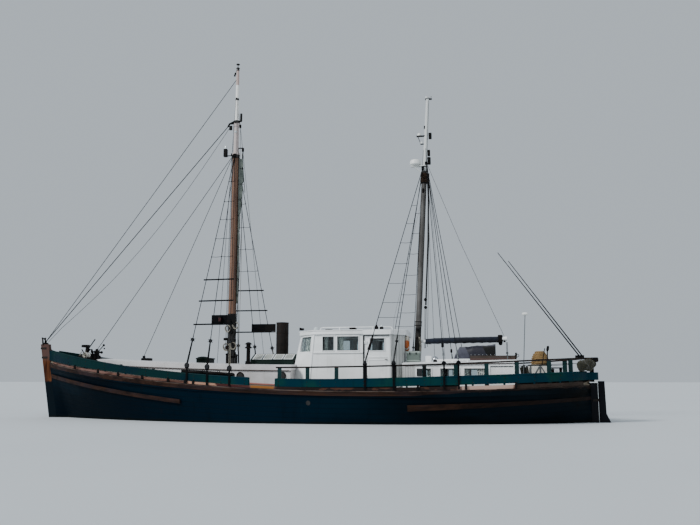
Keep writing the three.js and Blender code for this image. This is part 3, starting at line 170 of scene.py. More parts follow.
class Finish:
    """One surface finish, put together from shader nodes on Object coordinates."""

    def __init__(self, name, **fixed):
        self.material = bpy.data.materials.new(name)
        self.material.use_nodes = True
        self.tree = self.material.node_tree
        self.shader = self.tree.nodes["Principled BSDF"]
        for key, value in fixed.items():
            self.shader.inputs[SOCKETS[key]].default_value = value
        self.place = self.add("ShaderNodeTexCoord").outputs["Object"]
        split = self.add("ShaderNodeSeparateXYZ", self.place)
        self.x, self.y, self.z = split.outputs

    def add(self, kind, *feeds, **settings):
        node = self.tree.nodes.new(kind)
        for key, value in settings.items():
            setattr(node, key, value)
        for index, value in enumerate(feeds):
            if value is not None:
                self.feed(node.inputs[index], value)
        return node

    def feed(self, socket, value):
        if isinstance(value, bpy.types.NodeSocket):
            self.tree.links.new(value, socket)
        else:
            socket.default_value = value

    def math(self, operation, a, b=None):
        return self.add("ShaderNodeMath", a, b, operation=operation).outputs[0]

    def plus(self, a, b):
        return self.math("ADD", a, b)

    def minus(self, a, b):
        return self.math("SUBTRACT", a, b)

    def scaled(self, value, by):
        return self.math("MULTIPLY", value, by)

    def squared(self, value):
        return self.math("MULTIPLY", value, value)

    def course(self, value, spacing):
        """The number of the plank that value falls in."""
        return self.math("FLOOR", self.math("DIVIDE", value, spacing))

    def noise(self, scale, stretch=(1, 1, 1), detail=3.0, rough=0.55, shift=0.0):
        at = self.add("ShaderNodeMapping", self.place)
        at.inputs["Location"].default_value = (shift, shift * 1.7, shift * 0.6)
        at.inputs["Scale"].default_value = stretch
        node = self.add("ShaderNodeTexNoise", at.outputs[0])
        node.inputs["Scale"].default_value = scale
        node.inputs["Detail"].default_value = detail
        node.inputs["Roughness"].default_value = rough
        return node.outputs["Fac"]

    def rise(self, value, low, high):
        """0 below low, 1 above high, smooth between."""
        node = self.add("ShaderNodeMapRange", value, interpolation_type="SMOOTHSTEP")
        node.inputs["From Min"].default_value = low
        node.inputs["From Max"].default_value = high
        return node.outputs[0]

    def window(self, value, low, high, soft=0.01):
        """1 between low and high, else 0."""
        opens = self.rise(value, low - soft, low + soft)
        return self.math("MULTIPLY", opens, self.rise(value, high + soft, high - soft))

    def mix(self, share, a, b):
        node = self.add("ShaderNodeMix", data_type="RGBA")
        self.feed(node.inputs[0], share)
        self.feed(node.inputs[6], a)
        self.feed(node.inputs[7], b)
        return node.outputs[2]

    def wash(self, under, value, low, high, share, code):
        """That share of a colour over what is there, where value rises from low to high."""
        return self.mix(self.scaled(self.rise(value, low, high), share), under, tint(code))

    def washes(self, under, rows):
        for row in rows:
            under = self.wash(under, *row)
        return under

    def seams(self, value, spacing, width):
        """1 in a thin line at every spacing along value, else 0."""
        share = self.math("FRACT", self.math("DIVIDE", value, spacing))
        away = self.math("ABSOLUTE", self.minus(share, 0.5))
        return self.rise(away, 0.5 - width / spacing, 0.5 - 0.3 * width / spacing)

    def relief(self, height, depth, strength=1.0, under=None):
        node = self.add("ShaderNodeBump")
        node.inputs["Strength"].default_value = strength
        node.inputs["Distance"].default_value = depth
        self.feed(node.inputs["Height"], height)
        if under is not None:
            self.feed(node.inputs["Normal"], under)
        return node.outputs[0]

    def rough_between(self, value, low, high):
        return self.plus(self.scaled(value, high - low), low)

    def done(self, colour, rough, relief=None):
        self.feed(self.shader.inputs["Base Color"], colour)
        self.feed(self.shader.inputs["Roughness"], rough)
        if relief is not None:
            self.feed(self.shader.inputs["Normal"], relief)
        return self.material


def hull_paint():
    """Blue black planks, darker toward the stern as painted reflection of dark surroundings: green and pale
    patches, runs of dirt and rust, weed at the waterline, red below.
    """
    f = Finish("hull_paint", gloss=0.03)
    plank_wide, plank_long = 0.165, 5.6
    cloud = f.noise(0.5, (0.35, 1, 1.4), 4)
    streak = f.noise(3.0, (1.6, 1.6, 0.16), 5, 0.6, 3.1)
    salt = f.noise(9.0, (1.2, 1.2, 0.25), 4, 0.6, 9.3)
    rust = f.noise(1.7, (2.2, 2.2, 0.14), 3, 0.5, 5.5)
    weed = f.plus(f.z, f.scaled(f.noise(2.2, (1, 1, 0.4), 4), -0.12))
    base = f.washes(tint("#000a13"), (
        # The next three rows grade the tone along the hull to near black at the stern: painted reflection of
        # dark surroundings on the glossy side.
        (f.x, -8.5, -0.5, 1, "#011421"),
        (f.x, -1.0, 5.5, 1, "#01060a"),
        (f.x, 4.5, 9.0, 1, "#060504"),
        (cloud, 0.45, 0.7, 0.3, "#03202d"),
        (streak, 0.52, 0.8, 0.45, "#01070b"),
        (salt, 0.62, 0.78, 0.12, "#16303a"),
        (rust, 0.66, 0.8, 0.3, "#1a0f0a"),
        (weed, 0.06, -0.04, 0.85, "#080d0a"),
        (f.z, -0.06, -0.12, 1, "#2a100d"),
    ))
    height_on_sheer = f.minus(f.z, f.scaled(f.squared(f.minus(f.x, 2.5)), 0.0052))
    planks = f.seams(height_on_sheer, plank_wide, 0.012)
    shifted = f.plus(f.x, f.scaled(f.course(height_on_sheer, plank_wide), 2.3))
    butts = f.seams(shifted, plank_long, 0.01)
    swell = f.scaled(f.noise(0.9, (0.4, 1, 1.2), 2, 0.4, 2.0), 0.5)
    height = f.minus(swell, f.math("MAXIMUM", planks, butts))
    height = f.plus(height, f.scaled(f.noise(60, (0.3, 1, 1), 2), 0.12))
    base = f.mix(f.scaled(planks, 0.45), base, tint("#010406"))
    rough = f.rough_between(f.noise(4, (1, 1, 0.5), 4), 0.32, 0.62)
    return f.done(base, rough, f.relief(height, 0.004, 0.8))


def paint(name, colour, worn, grime=0.3, gloss=0.4, dirt="#4d4a42"):
    """Brushed paint on wood: uneven film, runs of dirt, and chips down to what is under it."""
    f = Finish(name, gloss=gloss)
    base = tint(colour)
    body = f.mix(f.rise(f.noise(1.3, detail=4, shift=1.1), 0.4, 0.6), base, shade(base, 0.82))
    runs = f.noise(5.0, (1.3, 1.3, 0.2), 5, 0.62, 4.4)
    body = f.wash(body, runs, 0.5, 0.82, grime, dirt)
    chipped = f.rise(f.noise(26, (0.7, 1, 1), 5, 0.65, 7.7), 0.66, 0.695)
    body = f.mix(chipped, body, tint(worn))
    height = f.minus(f.scaled(f.noise(30, (0.12, 1, 1), 3, 0.5, 2.2), 0.35), f.scaled(chipped, 0.8))
    return f.done(body, f.rough_between(runs, 0.35, 0.6), f.relief(height, 0.0016, 0.7))


def trim_paint():
    """Teal of the bulwark planks, with green patches and dark runs; darker toward the bow as painted shade
    against the key light on that side.
    """
    f = Finish("trim_paint", gloss=0.05)
    runs = f.noise(5.0, (1.3, 1.3, 0.2), 5, 0.62, 4.4)
    body = f.washes(tint("#042733"), (
        (f.noise(1.1, (0.6, 1, 1), 4, shift=1.1), 0.42, 0.6, 1, "#043230"),
        # Painted shade: darker toward the bow, to hold down the key light that falls on the bow side.
        (f.x, -1.5, -4.0, 0.55, "#021219"),
        (runs, 0.5, 0.82, 0.4, "#020f14"),
    ))
    chipped = f.rise(f.noise(26, (0.7, 1, 1), 5, 0.65, 7.7), 0.69, 0.72)
    body = f.mix(f.scaled(chipped, 0.7), body, tint("#2b2620"))
    height = f.minus(f.scaled(f.noise(30, (0.12, 1, 1), 3, 0.5, 2.2), 0.35), f.scaled(chipped, 0.8))
    return f.done(body, f.rough_between(runs, 0.4, 0.65), f.relief(height, 0.0016, 0.7))


def timber(name, dark, light, along=(0.12, 1.6, 1.6), rough=(0.5, 0.8), gloss=0.3, weather=None, coat=0.0):
    """Wood with its grain along one axis, and cracks that follow it."""
    f = Finish(name, gloss=gloss, coat=coat, coat_rough=0.25)
    broad = f.noise(5.5, along, 5, 0.6, 1.9)
    fine = f.noise(38, along, 4, 0.65, 6.1)
    colour = f.mix(f.rise(broad, 0.32, 0.7), tint(dark), tint(light))
    colour = f.mix(f.scaled(f.rise(fine, 0.45, 0.7), 0.35), colour, shade(tint(dark), 0.45))
    run, across, up = along
    crack_stretch = (run * 0.4, across, up * 0.4 if up < 1 else up)
    split = f.rise(f.noise(17, crack_stretch, 3, 0.6, 8.8), 0.67, 0.71)
    colour = f.mix(f.scaled(split, 0.5), colour, tint("#140d08"))
    if weather:
        colour = f.wash(colour, f.noise(1.6, (0.4, 1, 1), 5, 0.6, 12.0), 0.42, 0.66, 0.75, weather)
    height = f.minus(f.scaled(fine, 0.6), split)
    return f, colour, f.relief(height, 0.002, 0.8), f.rough_between(fine, *rough)


def plain_timber(name, *looks, **more):
    f, colour, relief, rough = timber(name, *looks, **more)
    return f.done(colour, rough, relief)


def strake_wood():
    """The rail along the side, pale on its upper edge where the paint has gone and as a painted highlight
    where light falls on top, black toward the stern.
    """
    f, colour, relief, rough = timber(
        "strake_wood", "#170e0a", "#38241a", (0.1, 1.4, 1.4), weather="#2c2326", gloss=0.08
    )
    square = f.squared(f.minus(f.x, 2.5))
    bow = f.minus(f.scaled(square, 0.0062), f.z)
    stern = f.minus(f.scaled(square, 0.0033), f.z)
    below = f.plus(f.mix(f.rise(f.x, 2.4, 2.6), bow, stern), 1.08)
    # Pale upper edge near the sheer, in patches: partly worn paint, partly a painted highlight where light
    # falls on top.
    worn_and_lit_top = f.math("MULTIPLY", f.rise(below, 0.05, 0.015), f.rise(f.noise(4, (0.5, 1, 1), 4), 0.35, 0.6))
    colour = f.mix(f.scaled(worn_and_lit_top, 0.6), colour, tint("#75665c"))
    return f.done(f.wash(colour, f.x, 3.0, 8.0, 0.7, "#0d0908"), rough, relief)


def slab_wood():
    """Weathered wood of the hatch: olive brown above, pinkish below."""
    f, colour, relief, rough = timber("hatch_wood", "#2a241f", "#4b433c", weather="#423a37", gloss=0.08)
    return f.done(f.wash(colour, f.z, 2.19, 2.15, 0.5, "#523836"), rough, relief)


def stem_wood():
    """Brown above, with the hull's paint up to a ragged edge and weed at the water."""
    f, colour, relief, rough = timber("stem_wood", "#2f160b", "#6b3f24", (1.5, 1.5, 0.15), gloss=0.06)
    ragged = f.plus(f.z, f.scaled(f.noise(6, detail=4), 0.2))
    colour = f.washes(colour, (
        (f.z, 2.1, 2.35, 0.8, "#4c3c3a"),
        (ragged, 1.52, 1.44, 1, "#010d15"),
        (f.z, 0.12, 0.0, 0.8, "#080d0a"),
    ))
    return f.done(colour, rough, relief)


def covering_wood():
    """Boards along the deck edge: pinkish tan forward, orange in the gangway, dark amidships as painted shade
    under the bulwark, pale aft.
    """
    f, colour, relief, rough = timber("board_wood", "#402922", "#6f4f43", weather="#775a52", gloss=0.1)
    ragged = f.plus(f.x, f.scaled(f.noise(5, detail=4, shift=3.0), 0.5))
    for low, high, share, code in (
        (-3.35, -2.2, 0.75, "#b58a72"),
        (-2.2, -1.05, 0.8, "#3a1618"),
        (-1.0, -0.15, 0.85, "#8f5c26"),
        # Painted shade: this dark band amidships stands for the shadow under the bulwark.
        (-0.1, 5.9, 0.93, "#15100f"),
        (5.98, 7.62, 0.9, "#b59a8c"),
        (7.7, 10.3, 0.85, "#24211c"),
    ):
        colour = f.mix(f.scaled(f.window(ragged, low, high, 0.06), share), colour, tint(code))
    streak = f.window(f.noise(3.0, (0.5, 1, 1), 4, shift=9.0), 0.6, 0.9, 0.02)
    amidships = f.math("MULTIPLY", streak, f.window(f.x, 0.4, 5.6, 0.2))
    colour = f.mix(f.scaled(amidships, 0.5), colour, tint("#5a3a2c"))
    return f.done(colour, rough, relief)


def keel_paint():
    f = Finish("keel_paint", gloss=0.2)
    weed = f.noise(14, detail=5, rough=0.7, shift=4.0)
    colour = f.washes(tint("#30130f"), (
        (f.noise(2.2, (0.4, 1, 1), 5, 0.6), 0.4, 0.65, 1, "#1d0b09"),
        (weed, 0.55, 0.7, 0.6, "#12150f"),
    ))
    return f.done(colour, 0.8, f.relief(weed, 0.006, 0.8))


def deck_planks():
    """Planks that follow the deck edge, each a little lighter or darker than the next."""
    f, colour, relief, rough = timber("deck_planks", "#473f36", "#726a5c", (0.1, 1.6, 1.6), gloss=0.2)
    plank_wide, plank_long, gap = 0.11, 4.4, 0.008
    across = f.plus(f.math("ABSOLUTE", f.y), f.scaled(f.squared(f.x), 0.0045))
    number = f.course(across, plank_wide)
    seam = f.seams(across, plank_wide, gap)
    butt = f.seams(f.plus(f.x, f.scaled(number, 1.7)), plank_long, gap)
    for line in (seam, butt):
        colour = f.mix(line, colour, tint("#15130f"))
    plank = f.add("ShaderNodeTexWhiteNoise", noise_dimensions="1D")
    f.feed(plank.inputs["W"], number)
    colour = f.mix(f.scaled(plank.outputs["Value"], 0.35), colour, tint("#7d7363"))
    return f.done(colour, rough, f.relief(f.math("MAXIMUM", seam, butt), 0.004, 0.8, relief))


def banded(name, base, bands, **wood):
    """A mast: wood with painted or iron bands by height. bands: (low, high, colour)."""
    f, colour, relief, rough = timber(name, *base, **wood)
    for low, high, code in bands:
        coat = f.wash(tint(code), f.noise(11, (1, 1, 0.4), 5, 0.65, low), 0.62, 0.68, 0.35, "#6b6258")
        colour = f.mix(f.window(f.z, low, high, 0.012), colour, coat)
    return f.done(colour, rough, relief)


def white_paint(name, light, dark):
    f = Finish(name, gloss=0.42)
    runs = f.noise(4.0, (1.6, 1.6, 0.16), 5, 0.62, 4.4)
    body = f.washes(tint(light), (
        (f.noise(1.1, detail=4), 0.35, 0.7, 1, dark),
        (runs, 0.52, 0.84, 0.32, "#8f8a7c"),
        (f.noise(3.2, (2.4, 2.4, 0.12), 4, 0.55, 14.4), 0.7, 0.82, 0.3, "#8a6446"),
    ))
    film = f.noise(45, (0.4, 1, 0.4), 3, 0.5, 3.3)
    return f.done(body, f.rough_between(runs, 0.32, 0.55), f.relief(film, 0.0012, 0.6))


def boarded(name, spacing, colour):
    """White paint over upright boards, for the after corners of the wheelhouse, greyed as painted shade of
    faces turned from the light.
    """
    f = Finish(name, gloss=0.3)
    seam = f.seams(f.x, spacing, 0.009)
    body = f.wash(tint(colour), f.noise(1.4, detail=4), 0.35, 0.7, 1, "#b9bbb8")
    body = f.mix(f.scaled(seam, 0.7), body, tint("#6d6f70"))
    body = f.wash(body, f.noise(6.0, (2, 2, 0.18), 5, 0.62, 4.4), 0.48, 0.8, 0.4, "#7d7a70")
    return f.done(body, 0.5, f.relief(f.minus(1.0, seam), 0.005, 0.8))


def iron(name, colour, rust=0.35, rough=(0.45, 0.75), gloss=0.2, metal=0.0):
    f = Finish(name, gloss=gloss, metal=metal)
    pits = f.noise(9, detail=6, rough=0.65, shift=2.5)
    body = f.wash(tint(colour), pits, 0.5, 0.68, rust, "#2b170e")
    height = f.plus(pits, f.scaled(f.noise(70, detail=3, shift=1.2), 0.3))
    return f.done(body, f.rough_between(pits, *rough), f.relief(height, 0.0015, 0.7))


def bright_metal(name, colour, rough=0.18):
    f = Finish(name, metal=1.0)
    marks = f.noise(120, (0.2, 1, 1), 3, shift=0.7)
    tarnish = f.noise(11, detail=5, shift=3.7)
    body = f.mix(f.rise(tarnish, 0.45, 0.7), tint(colour), shade(tint(colour), 0.7))
    return f.done(body, f.rough_between(tarnish, rough, rough + 0.2), f.relief(marks, 0.0004, 0.4))


def cloth(name, colour, fade, thread=0.0035, folds=0.5):
    """Woven cloth: two crossing threads, faded patches and creases."""
    f = Finish(name, gloss=0.2, sheen=0.25)
    warp, weft = (
        f.add("ShaderNodeTexWave", f.place, wave_type="BANDS", bands_direction=way) for way in ("X", "Z")
    )
    for wave in (warp, weft):
        wave.inputs["Scale"].default_value = 0.314 / thread
        wave.inputs["Distortion"].default_value = 0.6
    weave = f.math("MULTIPLY", warp.outputs["Fac"], weft.outputs["Fac"])
    body = f.wash(tint(colour), f.noise(2.6, detail=5, rough=0.6, shift=1.4), 0.4, 0.68, 1, fade)
    body = f.mix(f.scaled(weave, 0.18), body, shade(tint(colour), 0.55))
    under = f.relief(f.noise(7, (1, 1.4, 1.4), 4, 0.55, 5.2), 0.012, folds)
    return f.done(body, 0.85, f.relief(weave, 0.0008, 0.5, under))


def rope_finish(name, colour, dark):
    """Laid rope: slanting strands read from the rope's own place."""
    f = Finish(name, gloss=0.15)
    slant = f.plus(f.plus(f.x, f.y), f.z)
    strand = f.plus(f.scaled(f.math("SINE", f.scaled(slant, 180)), 0.5), 0.5)
    fuzz = f.noise(130, detail=3, shift=0.4)
    body = f.wash(tint(dark), strand, 0.1, 0.7, 1, colour)
    body = f.wash(body, f.noise(5, detail=4), 0.5, 0.75, 0.4, dark)
    return f.done(body, 0.9, f.relief(f.plus(strand, f.scaled(fuzz, 0.4)), 0.0015, 0.8))


def glass():
    f = Finish("window_glass", clear=1.0, ior=1.45)
    smear = f.noise(3.5, (1, 1, 0.5), 4, 0.6)
    return f.done(tint("#dfe9ea"), f.rough_between(f.rise(smear, 0.5, 0.8), 0.01, 0.09))


def moulded(name, colour, rough=(0.3, 0.5)):
    f = Finish(name, gloss=0.45)
    speck = f.noise(3.5, detail=5, shift=2.0)
    body = f.mix(f.scaled(f.rise(speck, 0.45, 0.75), 0.5), tint(colour), shade(tint(colour), 0.75))
    body = f.wash(body, f.noise(9, (1.5, 1.5, 0.2), 5, 0.6, 3.0), 0.55, 0.8, 0.3, "#6a6459")
    return f.done(body, f.rough_between(speck, *rough), f.relief(f.noise(90, detail=2), 0.0005, 0.5))


def ring_plastic():
    """The life ring: orange, with its upper part cream."""
    f = Finish("ring_plastic", gloss=0.3)
    runs = f.noise(9, (1.5, 1.5, 0.4), 5, 0.6, 3.0)
    body = f.washes(tint("#b0561c"), ((f.z, 2.795, 2.805, 1, "#c9bfae"), (runs, 0.5, 0.8, 0.4, "#5a3a22")))
    return f.done(body, 0.55, f.relief(runs, 0.001, 0.4))


FINISH = {
    "hull": hull_paint(),
    "trim": trim_paint(),
    "rail": paint("rail_paint", "#120e0c", "#33281f", gloss=0.15, grime=0.3, dirt="#070606"),
    "white": white_paint("white_paint", "#f3f5f5", "#e4e7e6"),
    # Painted shade: a darker copy of the white, for the trunk, whose sides face away from the light.
    "trunk_white": white_paint("trunk_paint_shaded", "#d3d2d2", "#bfbdbd"),
    # Grey boards: their grey is painted shade of faces turned from the light.
    "boards": boarded("grey_boards_shaded", 0.085, "#c9cbc9"),
    "strake": strake_wood(),
    "cover_board": covering_wood(),
    "stem": stem_wood(),
    "keel": keel_paint(),
    "post": paint("post_paint", "#05070f", "#14110e", gloss=0.12, grime=0.3, dirt="#020304"),
    "deck": deck_planks(),
    "hatch_wood": slab_wood(),
    "varnish": plain_timber(
        "varnish", "#3a2013", "#744629", (1.5, 1.5, 0.1), rough=(0.3, 0.5), gloss=0.5, coat=0.3
    ),
    "cabin_wood": plain_timber(
        "cabin_wood", "#3d2212", "#6e4526", (1.5, 1.5, 0.15), rough=(0.35, 0.55), gloss=0.4
    ),
    "iron": iron("black_iron", "#060708", gloss=0.1),
    "rusty": iron("rusty_iron", "#14100d", rust=0.6),
    "wire": iron("tarred_wire", "#07090c", rust=0.2, gloss=0.05),
    "galvanised": iron("galvanised", "#5f6466", rust=0.2, metal=0.6, rough=(0.35, 0.6)),
    "bronze": bright_metal("bronze", "#9a7440", 0.3),
    "chrome": bright_metal("chrome", "#c9ccd0", 0.12),
    "brass": bright_metal("brass", "#b99044", 0.25),
    "glass": glass(),
    "navy": cloth("cover_cloth", "#070d18", "#101a2a"),
    "hood": cloth("hood_cloth", "#33343f", "#484954"),
    "hood_window": moulded("hood_window", "#0b0c1d", (0.4, 0.6)),
    # Near black cloth for the after end of the hood: painted shade of its open end.
    "hood_shadow_dark": cloth("hood_shadow_dark", "#030405", "#080a09"),
    "net": cloth("net_cloth", "#17180f", "#2b2c1f", thread=0.03),
    "sail": cloth("sail_cloth", "#4f5753", "#6b726c"),
    "curtain": cloth("curtain_cloth", "#c9cbc4", "#e3e4dd", thread=0.002, folds=0.2),
    "canvas": cloth("white_canvas", "#c8c6bd", "#dedcd2"),
    "hemp": rope_finish("tan_rope", "#a3875c", "#5b452b"),
    "pale_rope": rope_finish("pale_rope", "#a5a196", "#6a6457"),
    "dark_rope": rope_finish("dark_rope", "#161617", "#09090a"),
    "brown_rope": rope_finish("brown_rope", "#3d2e24", "#1b140f"),
    "net_rope": rope_finish("net_rope", "#4d4a35", "#25241a"),
    "dome": moulded("dome_plastic", "#dfe1de"),
    "ring": ring_plastic(),
    "canister": moulded("canister", "#5f6b64", (0.4, 0.6)),
    "canister_rim": moulded("canister_rim", "#8f9a93", (0.4, 0.6)),
    "deadeye": iron("deadeye_iron", "#1b1d20", rust=0.15, rough=(0.35, 0.6)),
    "rubber": moulded("black_rubber", "#141415", (0.6, 0.8)),
    "lens_red": moulded("red_lens", "#330707", (0.1, 0.2)),
    "lens_green": moulded("green_lens", "#06281a", (0.1, 0.2)),
    "lens_clear": moulded("clear_lens", "#c9d2d4", (0.05, 0.15)),
    "hatch_green": paint("hatch_green", "#0a211a", "#2a332c", gloss=0.2, dirt="#050c0a"),
    "fore_hatch_green": paint("fore_hatch_green", "#04120e", "#141b17", gloss=0.08, dirt="#020605"),
    "bead": paint("bead_brown", "#3d2f2b", "#6a5549", grime=0.2),
    "pink": paint("foot_line", "#a0685f", "#7c5a52", grime=0.3),
    "sky_pane": moulded("sky_pane", "#b9c2c0", (0.12, 0.3)),
    "main_mast": banded(
        "main_mast_wood",
        ("#452c20", "#7c5842"),
        [
            (2.0, 3.56, "#0e0c0a"),
            (3.55, 3.9, "#060607"),
            (13.0, 13.6, "#b09a93"),
            (11.52, 13.0, "#e4e4e1"),
            (10.12, 11.42, "#b5a9a6"),
            (9.99, 10.12, "#0b0b0d"),
            (11.42, 11.52, "#0b0b0d"),
            (12.36, 12.45, "#0b0b0d"),
            (13.6, 13.72, "#0b0b0d"),
        ],
        along=(1.5, 1.5, 0.1),
        rough=(0.3, 0.55),
        gloss=0.45,
    ),
    "mizzen_mast": banded(
        "mizzen_mast_wood",
        ("#2d2b29", "#545250"),
        [(9.1, 12.0, "#c9cccb"), (8.6, 9.04, "#0d0d0e"), (3.08, 3.3, "#08090a"), (2.0, 3.08, "#15130f")],
        along=(1.5, 1.5, 0.1),
        weather="#5d5c5a",
    ),
}


# The bench: shapes made with bmesh operators and laid into one piece
def facing(axis):
    """Turns what stands upright so that it points along axis."""
    return Vector(axis).normalized().to_track_quat("Z", "Y").to_matrix().to_4x4()


def verts_of(items):
    return [item for item in items if isinstance(item, bmesh.types.BMVert)]


def oblong(x0, x1, low, high, y):
    """Corners of an upright oblong on a side wall; y is its place or a function of x."""
    place = y if callable(y) else lambda x: y
    return [(x, place(x), z) for x, z in ((x0, low), (x1, low), (x1, high), (x0, high))]


class Bench:
    """One piece in the making. coat is the number of the finish that the next shape takes."""

    def __init__(self):
        self.bm = bmesh.new()
        self.spare = bpy.data.meshes.new("spare")
        self.coat = 0

    def lay(self, part, matrix=None, turn_out=False):
        if matrix is not None:
            bmesh.ops.transform(part, matrix=matrix, verts=part.verts)
        if turn_out:
            bmesh.ops.recalc_face_normals(part, faces=part.faces)
        for face in part.faces:
            face.material_index = self.coat
        part.to_mesh(self.spare)
        part.free()
        self.bm.from_mesh(self.spare)

    def block(self, low, high, edge=0.004, matrix=None):
        """A box with its edges eased."""
        low, high = Vector(low), Vector(high)
        part = bmesh.new()
        bmesh.ops.create_cube(part, size=1)
        bmesh.ops.scale(part, vec=high - low, verts=part.verts)
        bmesh.ops.translate(part, vec=(low + high) / 2, verts=part.verts)
        if edge:
            ease(part, edge)
        self.lay(part, matrix)

    def cube(self, spot, half, edge=0.004):
        """A box about its middle; half is half its size each way."""
        spot, half = Vector(spot), Vector(half)
        self.block(spot - half, spot + half, edge)

    def board(self, a, b, wide, thick, face=UP, edge=0.004):
        """A board from a to b; face is the way its thin side looks."""
        a, b = Vector(a), Vector(b)
        run = (b - a).normalized()
        out = (Vector(face) - run * run.dot(face)).normalized()
        turn = Matrix((run, out.cross(run), out)).transposed().to_4x4()
        half = Vector(((b - a).length / 2, wide / 2, thick / 2))
        self.block(-half, half, edge, Matrix.Translation((a + b) / 2) @ turn)

    def bar(self, a, b, radius, sides=8, end=None):
        a, b = Vector(a), Vector(b)
        part = bmesh.new()
        far = radius if end is None else end
        bmesh.ops.create_cone(
            part,
            cap_ends=True,
            cap_tris=False,
            segments=sides,
            radius1=radius,
            radius2=far,
            depth=(b - a).length,
        )
        self.lay(part, Matrix.Translation((a + b) / 2) @ facing(b - a))

    def spun(self, part, geom, at, axis, sides):
        """Spins what is in the part all round and lays it at its place."""
        bmesh.ops.spin(
            part,
            geom=geom,
            cent=(0, 0, 0),
            axis=(0, 0, 1),
            dvec=(0, 0, 0),
            angle=math.tau,
            steps=sides,
            use_merge=True,
        )
        bmesh.ops.remove_doubles(part, verts=part.verts, dist=1e-5)
        self.lay(part, Matrix.Translation(at) @ facing(axis), turn_out=True)

    def turned(self, at, profile, axis=UP, sides=20):
        """A turned shape: profile is (radius, height) up its axis."""
        part = bmesh.new()
        points = [part.verts.new((radius, 0, height)) for radius, height in profile]
        edges = [part.edges.new(pair) for pair in zip(points, points[1:])]
        self.spun(part, points + edges, at, axis, sides)

    def disc(self, at, radius, thick, axis=UP, sides=16):
        """A round plate or a short post with flat ends."""
        self.turned(at, [(0, 0), (radius, 0), (radius, thick), (0, thick)], axis, sides)

    def loop(self, at, axis, radius, thick, sides=24, round_sides=8):
        """A ring of round section about an axis."""
        part = bmesh.new()
        across = Matrix.Translation((radius, 0, 0)) @ Matrix.Rotation(math.pi / 2, 4, "X")
        ring = bmesh.ops.create_circle(part, segments=round_sides, radius=thick, matrix=across)["verts"]
        self.spun(part, ring + list({edge for vert in ring for edge in vert.link_edges}), at, axis, sides)

    def ball(self, at, radius, squash=(1, 1, 1), rings=8, sides=12):
        part = bmesh.new()
        bmesh.ops.create_uvsphere(part, u_segments=sides, v_segments=rings, radius=radius)
        self.lay(part, Matrix.Translation(at) @ Matrix.Diagonal((*squash, 1)))

    def rope(self, points, radius, sides=6, end=None):
        """A round rope, wire or pipe that follows the points. end is its radius at the far end."""
        points = [Vector(point) for point in points]
        last = len(points) - 1

        def heading(i):
            return (points[min(i + 1, last)] - points[max(i - 1, 0)]).normalized()

        part = bmesh.new()
        start = Matrix.Translation(points[0]) @ facing(heading(0))
        ring = bmesh.ops.create_circle(part, segments=sides, radius=radius, matrix=start)["verts"]
        edges = list({edge for vert in ring for edge in vert.link_edges})
        for i in range(1, last + 1):
            made = bmesh.ops.extrude_edge_only(part, edges=edges)["geom"]
            verts = verts_of(made)
            near = set(verts)
            edges = [e for e in made if isinstance(e, bmesh.types.BMEdge) and set(e.verts) <= near]
            turn = heading(i - 1).rotation_difference(heading(i)).to_matrix()
            bmesh.ops.rotate(part, verts=verts, cent=points[i - 1], matrix=turn)
            bmesh.ops.translate(part, verts=verts, vec=points[i] - points[i - 1])
            if end is not None:
                share = (radius + (end - radius) * i / last) / (radius + (end - radius) * (i - 1) / last)
                home = Matrix.Translation(points[i])
                bmesh.ops.transform(part, matrix=home @ Matrix.Scale(share, 4) @ home.inverted(), verts=verts)
        bmesh.ops.holes_fill(part, edges=[edge for edge in part.edges if edge.is_boundary])
        self.lay(part, turn_out=True)

    def rim(self, corners, band, thick, edge=0.004):
        """A flat frame round a window: its outer corners in order, its width and its thickness."""
        part = bmesh.new()
        face = part.faces.new([part.verts.new(corner) for corner in corners])
        part.normal_update()
        out = face.normal * thick
        bmesh.ops.inset_region(part, faces=[face], thickness=band, use_boundary=True, use_even_offset=True)
        bmesh.ops.delete(part, geom=[face], context="FACES")
        frame_geom = part.faces[:] + part.edges[:] + part.verts[:]
        made = bmesh.ops.extrude_face_region(part, geom=frame_geom)["geom"]
        bmesh.ops.translate(part, vec=out, verts=verts_of(made))
        bmesh.ops.recalc_face_normals(part, faces=part.faces)
        if edge:
            ease(part, edge)
        self.lay(part)

    def panel(self, corners, thick):
        """A flat plate on these corners, its thickness along their normal."""
        part = bmesh.new()
        face = part.faces.new([part.verts.new(corner) for corner in corners])
        part.normal_update()
        out = face.normal * thick
        made = bmesh.ops.extrude_face_region(part, geom=[face])["geom"]
        bmesh.ops.translate(part, vec=out, verts=verts_of(made))
        self.lay(part, turn_out=True)

    def weave(self, rows, columns, place, closed=False, thick=0.0):
        """A grid whose points go where place(u, v) says, u and v from 0 to 1."""
        part = bmesh.new()
        bmesh.ops.create_grid(part, x_segments=rows, y_segments=columns, size=0.5)
        for vert in part.verts:
            vert.co = place(vert.co.x + 0.5, vert.co.y + 0.5)
        bmesh.ops.remove_doubles(part, verts=part.verts, dist=1e-4 if closed else 1e-6)
        if closed:
            bmesh.ops.holes_fill(part, edges=[edge for edge in part.edges if edge.is_boundary])
        bmesh.ops.recalc_face_normals(part, faces=part.faces)
        if thick:
            bmesh.ops.solidify(part, geom=part.faces[:], thickness=thick)
        self.lay(part)

    def flip(self, parts):
        """Turns faces and their points over to the other side of the boat."""
        bmesh.ops.scale(self.bm, vec=(1, -1, 1), verts=verts_of(parts))
        faces = [item for item in parts if isinstance(item, bmesh.types.BMFace)]
        bmesh.ops.reverse_faces(self.bm, faces=faces)

    def mirror(self):
        """Adds the same again on the other side of the boat."""
        all_parts = self.bm.verts[:] + self.bm.edges[:] + self.bm.faces[:]
        self.flip(bmesh.ops.duplicate(self.bm, geom=all_parts)["geom"])
        return self

    def area(self):
        return sum(face.calc_area() for face in self.bm.faces)

